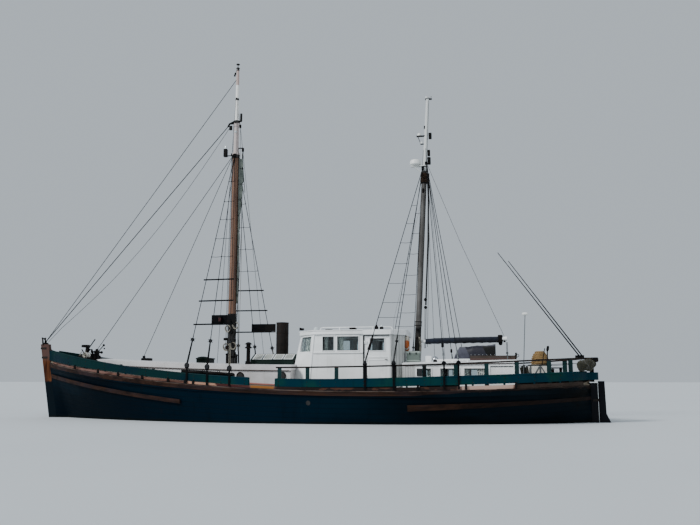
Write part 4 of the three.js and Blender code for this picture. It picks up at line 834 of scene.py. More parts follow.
    def finish(self, name, finishes, body="vessel", slot="white_paint", replaces=(), sharp=38.0):
        """Makes the piece, with its hard edges kept, and lets it ride on its body."""
        limit = math.radians(sharp)
        for edge in self.bm.edges:
            edge.smooth = len(edge.link_faces) == 2 and edge.calc_face_angle(0) < limit
        for face in self.bm.faces:
            face.smooth = True
        mesh = bpy.data.meshes.new(name)
        self.bm.to_mesh(mesh)
        self.bm.free()
        bpy.data.meshes.remove(self.spare)
        for key in [finishes] if isinstance(finishes, str) else finishes:
            mesh.materials.append(FINISH[key])
        piece = bpy.data.objects.new(name, mesh)
        bpy.context.scene.collection.objects.link(piece)
        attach(piece, body)
        if replaces:
            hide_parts(*replaces)
        return piece


def ease(part, edge):
    hard = [e for e in part.edges if len(e.link_faces) == 2 and e.calc_face_angle(0) > 0.5]
    bmesh.ops.bevel(
        part,
        geom=hard,
        offset=edge,
        offset_type="OFFSET",
        segments=1,
        profile=0.5,
        affect="EDGES",
        clamp_overlap=True,
        material=-1,
    )


SLOT_OF = {item["node"]: item["material_slot"] for item in frame["record"]["subparts"]}
BODY_OF = {node: body for body, nodes in frame["record"]["behaviour"]["bodies"].items() for node in nodes}


def coat_node(node, finish):
    """A CAD node that stays as it is gets its finish."""
    mesh = frame["nodes"][node].data
    mesh.materials.clear()
    mesh.materials.append(FINISH[finish])


def dress(node, finish, edge=0.0, sharp=38.0, sides=None):
    """A merged copy of a CAD node, its hard edges eased, stands for it. sides: finish of upright faces."""
    bench = Bench()
    bench.bm.from_mesh(frame["nodes"][node].data)
    bm = bench.bm
    bmesh.ops.remove_doubles(bm, verts=bm.verts, dist=1e-5)
    if edge:
        bmesh.ops.dissolve_limit(bm, angle_limit=math.radians(0.5), verts=bm.verts, edges=bm.edges)
        ease(bm, edge)
    bm.normal_update()
    for face in bm.faces:
        face.material_index = 1 if sides and abs(face.normal.z) < 0.5 else 0
    finishes = [finish, sides] if sides else finish
    return bench.finish(f"{node}_dressed", finishes, BODY_OF[node], SLOT_OF[node], (node,), sharp)


def stern_rail_paint():
    """Teal stanchions under a dark hand rail."""
    f = Finish("stern_rail_paint", gloss=0.15)
    top = f.plus(f.scaled(f.squared(f.plus(f.x, 0.4)), 0.003), 1.807)
    above = f.rise(f.minus(f.z, top), -0.004, 0.004)
    runs = f.noise(6.0, (1.3, 1.3, 0.25), 5, 0.62, 4.4)
    teal = f.wash(tint("#082a2b"), runs, 0.45, 0.75, 0.4, "#041516")
    brown = f.wash(tint("#100d0c"), f.noise(14, (0.2, 1, 1), 4), 0.4, 0.65, 1, "#2b211d")
    chips = f.rise(f.noise(30, detail=5, rough=0.65, shift=7.7), 0.66, 0.69)
    colour = f.mix(f.scaled(chips, 0.6), f.mix(above, teal, brown), tint("#322b25"))
    return f.done(colour, f.rough_between(runs, 0.4, 0.65), f.relief(runs, 0.0015, 0.6))


FINISH["stern_rail"] = stern_rail_paint()


# Hull
HULL_ROUND = 64
HULL_LONG = 110


def hull_point(u, v):
    """A point on the hull: u from bow to stern, v from mid deck down to port and up to starboard."""
    step = round(v * HULL_ROUND)
    side = -1 if step <= HULL_ROUND / 2 else 1
    step = min(step, HULL_ROUND - step)
    even = 0.5 - 0.5 * math.cos(math.pi * (0.08 + 0.84 * u))
    share = (even - 0.5 + 0.5 * math.cos(math.pi * 0.08)) / math.cos(math.pi * 0.08)
    fore, aft = stem_front(1.8) + 0.33, stern_end(1.2)
    x = fore + (aft - fore) * share
    top, low = sheer(x) - 0.045, keel_bottom(x) + 0.33
    if step < 2:
        half, z = deck_half(x) * 0.55 * step, top + 0.12 * (1 if step == 0 else 0.7)
    elif step <= 3:
        half, z = deck_half(x) - 0.002, top if step == 2 else sheer(x) - 0.222
    elif step <= 12:
        z = (sheer(x) - 0.226) * (12 - step) / 8
        half = water_half(x) + (deck_half(x) - water_half(x)) * z / sheer(x)
    elif step < HULL_ROUND / 2:
        depth = 1 - (1 - (step - 12) / 19) ** 1.5
        half, z = below_water(x, depth), low * depth
    else:
        half, z = 0.0, low
    front = stem_front(z) + 0.33
    return Vector((front + (stern_end(z) - front) * share, side * half, z))


SIDES = ((-1, "port"), (1, "starboard"))


def build_hull():
    bench = Bench()
    bench.weave(HULL_LONG, HULL_ROUND, hull_point, closed=True)
    bench.finish("hull_skin", "hull", slot="hull_paint", replaces=["hull"], sharp=50)
    for piece, finish in (
        ("rub_rail", "strake"),
        ("bow_strake", "strake"),
        ("quarter_strake", "strake"),
        ("covering_board", "cover_board"),
        ("bow_bulwark", "trim"),
    ):
        for _, name in SIDES:
            dress(f"{piece}_{name}", finish, sharp=30)
    for node, finish in (
        ("stern_bulwark", "trim"),
        ("stern_rail", "stern_rail"),
        ("stem_post", "stem"),
        ("propeller", "bronze"),
    ):
        dress(node, finish, sharp=30)
    dress("deck", "deck", sharp=30, sides="hull")
    for node, finish in (("keel", "keel"), ("stern_post", "post")):
        coat_node(node, finish)
    dress("rudder", "post", edge=0.012)


def build_hull_irons():
    """Straps, bolts and the ring on the side of the hull."""
    bench = Bench()
    for z in (0.75, -0.95, -1.85):
        bench.board((10.04, -0.1, z), (10.25, -0.085, z), 0.09, 0.014, PORT)
        for x in (10.08, 10.145, 10.21):
            bench.ball((x, -0.107 + (x - 10.04) * 0.07, z), 0.016, (1, 0.5, 1), 5, 8)
    bolts = [(x, sheer(x) - 0.09, 0.056, 0.014) for x in between(-9.8, 9.6, 60)]
    bolts += [(x, sheer(x) - 0.535 + 0.085 * ramp(x, 4, 10.2), 0.048, 0.013) for x in between(4.3, 9.5, 14)]
    for x, z, out, radius in bolts:
        half = deck_half(x) + (water_half(x) - deck_half(x)) * (1 - z / sheer(x)) + out
        bench.ball((x, -half, z), radius, (1, 0.5, 1), 4, 7)
    bench.mirror().finish("hull_irons", "rusty", slot="black_iron")
    outlet = Bench()
    half = water_half(0.75) + (deck_half(0.75) - water_half(0.75)) * 0.6
    outlet.loop((0.75, -half - 0.006, 0.68), PORT, 0.07, 0.009, 24, 8)
    outlet.coat = 1
    outlet.disc((0.75, -half - 0.002, 0.68), 0.066, 0.006, PORT, 20)
    outlet.finish("side_outlet", ["deadeye", "rubber"], slot="black_iron")


BULWARK_SEAMS = (
    -9, -8, -7.05, -6.1, -5.2, -4.3, -3.3, -2.3, -1.45, -0.27, 1.15, 2.6, 4, 5.1, 6.1, 7.1, 8.05, 8.9
)
RAIL_POSTS = (-0.26, 0.7, 1.68, 4.57, 5.58, 6.56, 7.53, 8.59, 9.34)
BULWARK_CHOCKS = (-8.58, -7.33, -6.38, -5.33, -4.28, -3.62, -3.31, -2.79, 4.36, 5.88, 7.45)


def build_bulwark_gear():
    """Posts at the ends of the bulwark planks, their bolts and the beads along them."""

    def upright(bench, x, inward, low, high, wide, thick, edge):
        bench.board(beside(x, inward, low), beside(x, inward, high), wide, thick, PORT, edge)

    posts = Bench()
    for x in (-1.35, -0.35):
        upright(posts, x, 0.055, board_top(x) - 0.01, bulwark_high(x) + 0.03, 0.11, 0.075, 0.01)
    for start, stop in ((-10.2, -1.32), (-0.38, 9.85)):
        line = [beside(x, 0.027, bulwark_high(x) + 0.012) for x in between(start, stop, 34)]
        posts.rope(line, 0.03, 8)
    posts.mirror().finish("bulwark_caps", "trim", slot="trim_paint")
    bolts = Bench()
    for x in BULWARK_SEAMS:
        for share in (0.25, 0.75):
            z = bulwark_low(x) + (bulwark_high(x) - bulwark_low(x)) * share
            bolts.ball(beside(x, 0.002, z), 0.017, (1, 0.6, 1), 5, 8)
    for x in RAIL_POSTS:
        for down in (0.07, 0.2):
            bolts.ball(beside(x, 0.001, bulwark_high(x) - down), 0.014, (1, 0.6, 1), 5, 8)
    bolts.mirror().finish("bulwark_bolts", "rusty", slot="black_iron")
    black = Bench()
    for x in (2.63, 3.59):
        upright(black, x, 0.12, board_top(x) - 0.01, rail_high(x) + 0.03, 0.13, 0.09, 0.012)
        head = beside(x, 0.12, rail_high(x) + 0.03)
        black.bar(head - UP * 0.02, head + UP * 0.05, 0.06, 10, 0.035)
    upright(black, 4.57, 0.1, bulwark_high(4.57), rail_high(4.57) - 0.04, 0.1, 0.05, 0.01)
    for x in (-6.35, -4.95):
        black.cube(beside(x, 0.09, bulwark_high(x) - 0.07), (0.05, 0.035, 0.13), 0.012)
    for x in BULWARK_CHOCKS:
        upright(black, x, -0.012, board_top(x) - 0.11, bulwark_low(x) + 0.03, 0.075, 0.03, 0.006)
    black.mirror().finish("tall_rail_posts", "iron", slot="black_iron")
    # Dark boards inside the gap under the bulwark: painted shadow, standing in for the shade there.
    inner = Bench()
    for start, stop in ((-0.3, 3.55), (4.4, 5.7), (7.6, 10.12)):

        def place(u, v):
            x = start + (stop - start) * u
            return beside(x, 0.2, board_top(x) - 0.02 + (bulwark_low(x) + 0.06 - board_top(x)) * v)

        inner.weave(16, 1, place, thick=0.02)
    inner.mirror().finish("bulwark_shadow_boards", "rail", slot="black_iron")
    low = Bench()
    low.rope([beside(x, 0.11, rail_high(x) - 0.16) for x in between(7.55, 9.6, 12)], 0.009, 6)
    low.mirror().finish("rail_wires", "wire", slot="rigging")


# Trunk cabin and what stands on it
SKY = {"fore": -1.91, "aft": -0.3, "y": -0.25, "half": 0.5, "edge": 2.15, "ridge": 2.385}


def build_trunk():
    # The trunk takes the darker white, whose greyness is painted shade.
    for node in ("trunk_walls", "trunk_roof"):
        dress(node, "trunk_white", sharp=30)
    dress("fore_hatch_coaming", "fore_hatch_green", edge=0.006)
    dress("fore_hatch_lid", "fore_hatch_green", edge=0.008)
    dress("skylight_box", "hatch_green")
    mound = Bench()
    mound.ball((-4.03, -0.05, 2.225), 0.24, (0.95, 1.3, 0.34), 10, 20)
    mound.finish("fore_hatch_mound", "fore_hatch_green", BODY_OF["fore_hatch_lid"], "trim_paint")
    lines = Bench()
    steps = between(-7.82, -0.24, 24)
    lines.rope([(x, -trunk_half(x) - 0.038, trunk_edge(x) - 0.186) for x in steps], 0.017, 8)
    lines.coat = 1
    foot = []
    for x in steps:
        y = trunk_half(x) + 0.014
        foot.append((x, -y, sheer(x) + 0.12 * (1 - (y / deck_half(x)) ** 2) + 0.03))
    lines.rope(foot, 0.03, 6)
    lines.mirror().finish("trunk_beads", ["bead", "pink"], slot="hatch_wood")
    ports = Bench()
    out = Vector((-0.07, -1, 0)).normalized()
    for x in (-2.07, -0.5):
        centre = Vector((x, -trunk_half(x) - 0.004, 1.57))
        ports.coat = 0
        ports.loop(centre + out * 0.012, out, 0.125, 0.02, 28, 10)
        for turn in range(6):
            spot = Matrix.Rotation(turn * math.tau / 6, 4, out) @ Vector((0, 0, 0.125))
            ports.ball(centre + out * 0.032 + spot, 0.008, rings=4, sides=6)
        ports.coat = 1
        ports.turned(centre, [(0, 0), (0.118, 0), (0.118, 0.012), (0, 0.016)], out, 28)
    ports.mirror().finish("portholes", ["rusty", "rubber"], slot="bronze")


def build_skylight():
    slope = math.atan2(SKY["ridge"] - SKY["edge"], SKY["half"])
    ridge = Vector((0, SKY["y"], SKY["ridge"]))
    edges = between(SKY["fore"] + 0.03, SKY["aft"] - 0.03, 5)
    for side, name in SIDES:
        dress(f"skylight_lid_{name}", "hatch_green", edge=0.004)
        down = Vector((0, side * math.cos(slope), -math.sin(slope)))
        out = Vector((0, side * math.sin(slope), math.cos(slope)))
        near, far = ridge + down * 0.09, ridge + down * 0.53
        panes = Bench()
        for fore, aft in zip(edges, edges[1:]):
            ahead, behind = AFT * (fore + 0.02), AFT * (aft - 0.02)
            corners = [ahead + near, behind + near, behind + far, ahead + far]
            if side > 0:
                corners.reverse()
            if (corners[1] - corners[0]).cross(corners[2] - corners[1]).dot(out) < 0:
                corners.reverse()
            panes.coat = 0
            panes.rim(corners, 0.035, 0.016, 0.003)
            panes.coat = 1
            panes.panel([corner + out * 0.001 for corner in corners], 0.007)
            panes.coat = 2
            for share in between(0.2, 0.8, 4):
                start = corners[0].lerp(corners[1], share) + out * 0.02
                stop = corners[3].lerp(corners[2], share) + out * 0.02
                panes.bar(start, stop, 0.005, 6)
        looks = ["white", "sky_pane", "brass"]
        panes.finish(f"skylight_panes_{name}", looks, f"{name}_lid", "white_paint")
    prop = Bench()
    prop.rope([(-1.78, -0.74, 2.0), (-1.8, -0.62, 2.16)], 0.03, 8)
    prop.rope([(-0.25, -0.75, 2.0), (-0.2, -0.62, 2.2), (-0.19, -0.4, 2.33), (-0.21, -0.2, 2.36)], 0.05, 10)
    prop.finish("skylight_struts", "iron", slot="black_iron")


def build_stacks():
    dress("vent_stack", "iron", sharp=40)
    dress("funnel", "rusty", sharp=40)
    bands = Bench()
    x, y = -1.15, 0.72
    for z in (2.75, 3.2, 3.585):
        bands.loop((x, y, z), UP, 0.237, 0.012, 32, 6)
    bands.bar((x, 0.49, 2.62), (x, 0.49, 2.55), 0.02)
    bands.coat = 1
    bands.turned((x, y, 3.28), [(0, 0), (0.2, 0), (0.2, 0.015), (0, 0.02)], UP, 24)
    bands.coat = 0
    for turn in range(4):
        side = Matrix.Rotation(turn * math.tau / 4 + 0.4, 4, "Z") @ Vector((0.24, 0, 0))
        bands.bar(Vector((x, y, 2.1)) + side * 1.02, Vector((x, y, 2.02)) + side * 1.35, 0.014, 6)
    for z, radius in ((2.09, 0.115), (2.57, 0.13), (2.71, 0.135)):
        bands.loop((-1.95, -0.93, z), UP, radius - 0.006, 0.009, 24, 6)
    bands.finish("stack_bands", ["rusty", "rubber"], slot="black_iron")


# Wheelhouse
def front_x(z):
    """Where the raked front of the wheelhouse stands at that height."""
    return -0.24 + 0.24 * (z - 1.9) / 1.1


def house_ring(z):
    """Corners of the port half of the wheelhouse at that height, from ahead to aft."""
    shoulder = 0.53 + 0.1 * (z - 1.9) / 1.1
    return [Vector((x, y, z)) for x, y in ((front_x(z), -0.8), (shoulder, -1.5), (3.3, -1.5), (3.7, -0.9))]


def on_facet(share, z, out):
    """A point on the port forward facet: share along it, out from its face."""
    ring = house_ring(z)
    along = (ring[1] - ring[0]).normalized()
    return ring[0].lerp(ring[1], share) + along.cross(UP).normalized() * out


def build_wheelhouse():
    coat_node("wheelhouse_walls", "white")
    coat_node("wheelhouse_glass", "glass")
    dress("wheelhouse_roof", "white", edge=0.015, sharp=30)
    frames = Bench()
    for x0, x1 in ((0.93, 1.34), (1.45, 2.21)):
        frames.coat = 0
        frames.rim(oblong(x0 - 0.03, x1 + 0.03, 2.4, 2.955, -1.5), 0.035, 0.022)
        frames.coat = 1
        frames.rim(oblong(x0, x1, 2.43, 2.95, -1.502), 0.014, 0.012, 0)
    corners = [on_facet(s, z, 0.002) for s, z in ((0.09, 2.37), (0.91, 2.37), (0.9, 2.965), (0.09, 2.965))]
    if (corners[1] - corners[0]).cross(corners[2] - corners[1]).y > 0:
        corners.reverse()
    frames.coat = 0
    frames.rim(corners, 0.04, 0.022)
    frames.board((0.6, -1.517, 2.36), (2.36, -1.517, 2.36), 0.05, 0.03, PORT, 0.006)
    frames.board((0.55, -1.508, 1.26), (2.38, -1.508, 1.26), 0.09, 0.02, PORT, 0.006)
    for foot, head in list(zip(house_ring(1.22), house_ring(2.98)))[:3]:
        frames.rope([foot + PORT * 0.004, head + PORT * 0.004], 0.02, 8)
    frames.mirror()
    for y in (-0.52, 0.0, 0.52):
        turns = ((0.235, 2.37), (-0.235, 2.37), (-0.235, 2.96), (0.235, 2.96))
        rim = [Vector((front_x(z) - 0.001, y + shift, z)) for shift, z in turns]
        if (rim[1] - rim[0]).cross(rim[2] - rim[1]).x > 0:
            rim.reverse()
        frames.rim(rim, 0.035, 0.022)
    frames.finish("window_frames", ["white", "rubber"])
    # The after boards take the grey finish, whose grey is painted shade.
    boards, count = Bench(), 7
    for side in (-1, 1):
        start, stop = Vector((3.31, side * 1.492, 0)), Vector((3.695, side * 0.905, 0))
        run = (stop - start).normalized()
        out = Vector((abs(run.y), side * abs(run.x), 0)).normalized()
        wide = (stop - start).length / count
        for i in range(count):
            foot = start + run * wide * (i + 0.5) + out * 0.008
            boards.board(foot + UP * 1.25, foot + UP * 2.97, wide - 0.008, 0.018, out, 0.003)
    for y in between(-0.85, 0.85, 18):
        boards.board((3.709, y, 2.08), (3.709, y, 2.97), 0.092, 0.016, AFT, 0.003)
    boards.finish("after_boards", "boards")
    fascia, edge_z, lip_z = Bench(), 3.055, 3.13
    for a, b, way in (((2.36, -1.572), (3.34, -1.572), PORT), ((3.34, -1.572), (3.77, -0.93), (1, -0.6, 0))):
        fascia.board((*a, edge_z), (*b, edge_z), 0.17, 0.03, way, 0.006)
    fascia.mirror()
    fascia.board((3.775, -0.92, edge_z), (3.775, 0.92, edge_z), 0.17, 0.03, AFT, 0.006)
    for side in (-1, 1):
        lip = ((-0.03, 0.87), (0.62, 1.565), (2.36, 1.565))
        fascia.rope([(x, side * y, lip_z) for x, y in lip], 0.018, 8)
    fascia.rope([(-0.07, -0.87, lip_z), (-0.07, 0.87, lip_z)], 0.018, 8)
    fascia.finish("roof_fascia", "white")


HORN = [(0, 0.16), (0.03, 0.16), (0.035, 0.08), (0.06, 0.0), (0.045, 0.01), (0, 0.06)]
ROOF_VENT = [
    (0, 0), (0.13, 0), (0.13, 0.03), (0.08, 0.04), (0.08, 0.06), (0.15, 0.07), (0.13, 0.1), (0, 0.11)
]


ROOF_LAMP = [(0, 0), (0.05, 0), (0.05, 0.03), (0.09, 0.06), (0.09, 0.12), (0.05, 0.16), (0, 0.16)]


def build_roof_gear():
    gear = Bench()
    gear.turned((-0.02, -0.62, 3.2), [(0, 0), (0.05, 0), (0.03, 0.03), (0.03, 0.07), (0, 0.07)], UP, 12)
    gear.turned((-0.12, -0.62, 3.25), HORN, AFT, 16)
    gear.block((1.8, -1.15, 3.19), (2.02, -0.75, 3.25), 0.02)
    gear.turned((0.74, 0.4, 3.2), ROOF_VENT, UP, 18)
    gear.block((2.72, -1.25, 3.18), (2.84, -1.1, 3.28), 0.012)
    gear.block((2.9, -1.22, 3.18), (3.02, -1.08, 3.26), 0.012)
    gear.bar((2.78, -1.17, 3.28), (2.78, -1.17, 3.33), 0.035, 12)
    gear.coat = 1
    gear.turned((2.96, -1.15, 3.26), [(0, 0), (0.04, 0), (0.045, 0.03), (0.03, 0.06), (0, 0.07)], UP, 12)
    gear.turned((0.35, 0.0, 3.2), ROOF_LAMP, UP, 18)
    gear.coat = 2
    rail = ((0.7, 3.18), (0.72, 3.26), (0.8, 3.28), (3.2, 3.28), (3.28, 3.26), (3.3, 3.18))
    for y in (-0.85, 0.85):
        gear.rope([(x, y, z) for x, z in rail], 0.016, 8)
        for x in (1.4, 2.0, 2.6):
            gear.bar((x, y, 3.17), (x, y, 3.28), 0.014)
    gear.finish("roof_gear", ["iron", "lens_clear", "white"], slot="black_iron")


def build_doors():
    face = -1.49
    for side, name in SIDES:
        dress(f"wheelhouse_door_{name}", "white", edge=0.003)
        trim = Bench()
        trim.rim(oblong(2.57, 3.14, 2.39, 2.88, face), 0.035, 0.014)
        trim.rim(oblong(2.56, 3.15, 1.42, 2.12, face), 0.03, 0.01)
        trim.board((2.5, face - 0.006, 2.2), (3.2, face - 0.006, 2.2), 0.05, 0.02, PORT)
        trim.coat = 1
        trim.rim(oblong(2.6, 3.11, 2.42, 2.85, face - 0.001), 0.012, 0.01, 0)
        trim.bar((3.2, face, 2.12), (3.2, face - 0.035, 2.12), 0.012, 10)
        trim.bar((3.2, face - 0.035, 2.12), (3.12, face - 0.035, 2.12), 0.011, 10)
        trim.coat = 2
        trim.panel(oblong(2.6, 3.11, 2.42, 2.85, -1.474), 0.006)
        if side > 0:
            trim.flip(trim.bm.verts[:] + trim.bm.faces[:])
        trim.finish(f"door_trim_{name}", ["white", "rubber", "glass"], f"{name}_door")
    jamb = Bench()
    for a, b, wide, thick, way, edge in (
        ((2.385, -1.505, 1.27), (2.385, -1.505, 2.96), 0.05, 0.014, PORT, 0.003),
        ((3.3, -1.503, 1.27), (3.3, -1.503, 2.96), 0.02, 0.01, PORT, 0.002),
        ((2.4, -1.505, 2.95), (3.3, -1.505, 2.95), 0.03, 0.014, PORT, 0.003),
        ((2.43, -1.47, 1.275), (3.27, -1.47, 1.275), 0.08, 0.02, UP, 0.004),
    ):
        jamb.board(a, b, wide, thick, way, edge)
    jamb.mirror().finish("door_jambs", "iron", slot="black_iron")


COMPASS = [(0, 0), (0.11, 0), (0.11, 0.03), (0.08, 0.05), (0.08, 0.1), (0.1, 0.12), (0.07, 0.18), (0, 0.2)]


def build_helm():
    dress("helm_stand", "cabin_wood", edge=0.006)
    dress("steering_wheel", "varnish", sharp=50)
    box = Bench()
    box.turned((0.62, 0.0, 2.2), COMPASS, UP, 20)
    box.coat = 1
    box.block((0.5, 0.16, 2.2), (0.72, 0.34, 2.34), 0.008)
    box.block((0.5, -0.34, 2.2), (0.66, -0.2, 2.28), 0.008)
    box.coat = 2
    for y in (-0.24, 0.24):
        box.disc((0.83, y, 1.95), 0.06, 0.012, AFT, 18)
    box.finish("helm_gear", ["brass", "iron", "sky_pane"], slot="bronze")
    seat = Bench()
    seat.block((3.25, -0.55, 1.26), (3.6, 0.55, 1.68), 0.01)
    seat.block((1.2, 1.05, 1.26), (2.2, 1.4, 1.72), 0.01)
    seat.board((2.9, -0.3, 2.0), (2.9, 0.3, 2.0), 0.02, 0.02, UP)
    seat.finish("wheelhouse_lockers", "cabin_wood", slot="varnish")


def hang_curtain(name, start, stop, low, high, folds, depth, rests):
    """A gathered curtain between two points."""
    bench = Bench()
    start, stop = Vector(start), Vector(stop)
    run = stop - start
    inward = Vector((run.y, -run.x, 0)).normalized()

    def place(u, v):
        gather = 1 - 0.18 * math.sin(math.pi * v) ** 2
        at = start + run * (0.5 + (u - 0.5) * gather)
        wave = math.sin(u * folds * math.tau) * depth * (0.55 + 0.45 * (1 - v))
        return Vector((at.x + inward.x * wave, at.y + inward.y * wave, low + (high - low) * v))

    bench.weave(folds * 8, 10, place)
    area = bench.area()
    piece = bench.finish(name, "curtain", slot="sail_cloth", sharp=80)
    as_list(rests)


def build_curtains():
    for side, name in SIDES:
        for label, start, stop, folds in (
            ("facet", (0.16, 0.86), (0.58, 1.33), 7),
            ("fore", (0.97, 1.385), (1.1, 1.385), 4),
            ("middle", (1.46, 1.385), (1.66, 1.385), 4),
        ):
            ends = [(x, side * y, 0) for x, y in (start, stop)]
            hang_curtain(f"curtain_{label}_{name}", *ends, 2.38, 2.945, folds, 0.016, ["wheelhouse_walls"])
        y = side * (cabin_half(5.3) - 0.095)
        for label, x0, x1 in zip("abcde", (4.52, 4.98, 5.4, 5.8, 6.2), (4.7, 5.12, 5.6, 5.95, 6.48)):
            ends = [(x, y, 0) for x in (x0, x1)]
            hang_curtain(f"cabin_curtain_{label}_{name}", *ends, 1.5, 1.845, 4, 0.012, ["cabin_walls"])


# After cabin
FLAT_CAP = [(0, 0), (0.11, 0.0), (0.11, 0.02), (0.08, 0.09), (0.03, 0.12), (0, 0.125)]


def build_after_cabin():
    coat_node("cabin_walls", "white")
    coat_node("cabin_glass", "glass")
    dress("cabin_roof", "white", sharp=30)
    dress("companion_garage", "hatch_wood", edge=0.004)
    dress("companion_hatch", "hatch_wood", edge=0.005)
    dress("roof_locker", "canister", edge=0.025)
    build_cabin_trim()
    vents = Bench()
    vents.turned((4.8, -1.1, 2.02), [(0, 0), (0.07, 0), (0.07, 0.07), (0.055, 0.09), (0, 0.09)], UP, 20)
    vents.coat = 1
    vents.turned((4.8, -1.1, 2.11), FLAT_CAP, UP, 24)
    vents.coat = 2
    vents.block((4.45, -0.92, 2.02), (4.66, -0.72, 2.25), 0.012)
    vents.coat = 0
    vents.block((7.52, -0.12, 2.2), (7.58, 0.12, 2.24), 0.006)
    vents.finish("roof_vents", ["iron", "chrome", "white"], slot="black_iron")
    handle = Bench()
    handle.board((7.535, -0.3, 2.28), (7.535, 0.3, 2.28), 0.04, 0.07, AFT, 0.006)
    handle.coat = 1
    handle.loop((7.575, -0.36, 2.26), STARBOARD, 0.05, 0.012, 16, 6)
    handle.block((7.5, -0.41, 2.2), (7.56, -0.33, 2.36), 0.006)
    handle.finish("hatch_handle", ["hatch_wood", "iron"], "companion", "hatch_wood")
    locker = Bench()
    locker.block((3.785, -1.015, 2.33), (4.275, -0.585, 2.415), 0.02)
    locker.block((3.79, -1.01, 2.06), (4.27, -0.59, 2.11), 0.015)
    locker.coat = 1
    for x in (3.92, 4.14):
        locker.board((x, -1.018, 2.3), (x, -1.018, 2.37), 0.035, 0.012, PORT, 0.003)
    locker.finish("locker_trim", ["canister_rim", "iron"])
    build_life_ring()


def build_cabin_trim():
    """Window frames, panel, rubbing line, end boards and hand rail of the after cabin."""
    trim = Bench()

    def wall(out):
        return lambda x: -cabin_half(x) - out

    for x0, x1 in ((4.2, 4.68), (4.99, 5.62), (5.79, 6.47)):
        corners = oblong(x0, x1, 1.51, 1.84, wall(0.002))
        trim.coat = 0
        trim.rim([(x - 0.03 if x == x0 else x + 0.03, y, z) for x, y, z in corners], 0.032, 0.02)
        trim.coat = 1
        trim.rim(oblong(x0, x1, 1.54, 1.81, wall(0.003)), 0.012, 0.01, 0)
    x0, x1 = 6.6, 7.46
    trim.coat = 0
    trim.rim(oblong(x0, x1, 1.46, 1.94, wall(0.002)), 0.05, 0.022)
    trim.coat = 3
    ends = [(x0 + 0.06, wall(0.012)(x0), 1.87), (x1 - 0.06, wall(0.012)(x1), 1.87)]
    trim.board(*ends, 0.02, 0.012, PORT, 0.003)
    # End boards in the grey finish, whose grey is painted shade.
    trim.coat = 4
    for x in between(3.745, 4.095, 6):
        y = wall(0.007)(x)
        trim.board((x, y, 1.3), (x, y, 1.9), 0.066, 0.014, PORT, 0.003)
    trim.coat = 2
    trim.rope([(x, wall(0.046)(x), cabin_edge(x) - 0.066) for x in between(3.75, 7.5, 12)], 0.012, 6)
    trim.coat = 0
    trim.board((4.88, -1.36, 2.085), (5.98, -1.35, 2.1), 0.07, 0.06, PORT, 0.012)
    for x in (4.95, 5.4, 5.9):
        trim.board((x, -1.36, 2.02), (x, -1.36, 2.08), 0.05, 0.05, PORT, 0.006)
    trim.mirror().finish("cabin_trim", ["white", "rubber", "bead", "galvanised", "boards"])


def build_life_ring():
    dress("life_ring", "ring", sharp=80)
    ring = Bench()
    middle, reach, tube = Vector((3.7653, -0.48, 2.695)), 0.215, 0.065
    band = [(tube + r, z) for r, z in ((0.001, 0), (0.004, 0), (0.004, 0.05), (0.001, 0.05), (0.001, 0))]
    for turn in range(4):
        a = math.pi / 4 + turn * math.pi / 2
        spot = middle + Vector((0, reach * math.cos(a), reach * math.sin(a)))
        tangent = Vector((0, -math.sin(a), math.cos(a)))
        ring.turned(spot - tangent * 0.025, band, tangent, 16)
    ring.coat = 1
    rope = []
    for i in range(65):
        a = math.tau * i / 64 + math.pi / 4
        out = reach + tube + 0.008 + 0.02 * abs(math.sin(2 * (a - math.pi / 4)))
        rope.append(middle + Vector((0, out * math.cos(a), out * math.sin(a))))
    ring.rope(rope, 0.006, 6)
    ring.finish("life_ring_bands", ["canvas", "pale_rope"], slot="ring_plastic")


def hood_arch(x, a, less=0.0, drop=0.0):
    """Half width, foot and head of the hood at x, and its point at angle a, with how far up that is."""
    half = 0.4 + 0.07 * ramp(x, 5.4, 5.8) - less
    foot = 2.115 + 0.153 * ramp(x, 5.86, 6.04)
    head = 2.2 + 0.39 * ramp(x, 5.4, 5.6) ** 0.7 + 0.085 * ramp(x, 5.6, 6.845) - drop
    up = abs(math.sin(a)) ** 0.5
    return -half * math.copysign(abs(math.cos(a)) ** 0.5, math.cos(a)), foot + (head - foot) * up, up


def build_hood():
    """The spray hood: canvas drawn over two hoops, dark at its after end as painted shade of its open end in
    shadow.
    """
    bench, width = Bench(), 1.62

    def place(u, v):
        x = 5.4 + 1.445 * u
        y, z, up = hood_arch(x, math.pi * v)
        nearest = min(abs(x - hoop) for hoop in (5.6, 6.2, 6.83))
        sag = 0.022 * ramp(nearest, 0.0, 0.28) * up
        crease = 0.004 * math.sin(31 * x + 9 * v) * math.sin(math.pi * v) * ramp(x, 5.4, 5.7)
        return Vector((x, y * (1 - 0.03 * up), z - sag + crease))

    bench.weave(72, 56, place)
    bmesh.ops.recalc_face_normals(bench.bm, faces=bench.bm.faces)
    # Faces toward the after end take the near black finish: painted shade of the hood's open end.
    for face in bench.bm.faces:
        middle = face.calc_center_median()
        back = middle.x - 0.45 * (2.62 - middle.z)
        face.material_index = 0 if back < 5.78 or middle.z > 2.6 else (1 if back < 6.38 else 2)
    area = bench.area()
    looks = ["hood", "hood_window", "hood_shadow_dark"]
    hood = bench.finish("hood_canvas", looks, slot="hood_cloth", replaces=["spray_hood"], sharp=75)
    hoops = Bench()
    for x in (5.61, 6.21, 6.83):
        arch = [hood_arch(x, math.pi * i / 24, 0.02, 0.022) for i in range(25)]
        hoops.rope([(x, y, z) for y, z, _ in arch], 0.011, 8)
    hoops.coat = 1
    for x in between(6.0, 6.8, 7):
        for y in (-0.473, 0.473):
            hoops.ball((x, y, 2.29), 0.012, (1, 0.5, 1), 5, 8)
    hoops.finish("hood_hoops", ["galvanised", "chrome"], slot="black_iron")


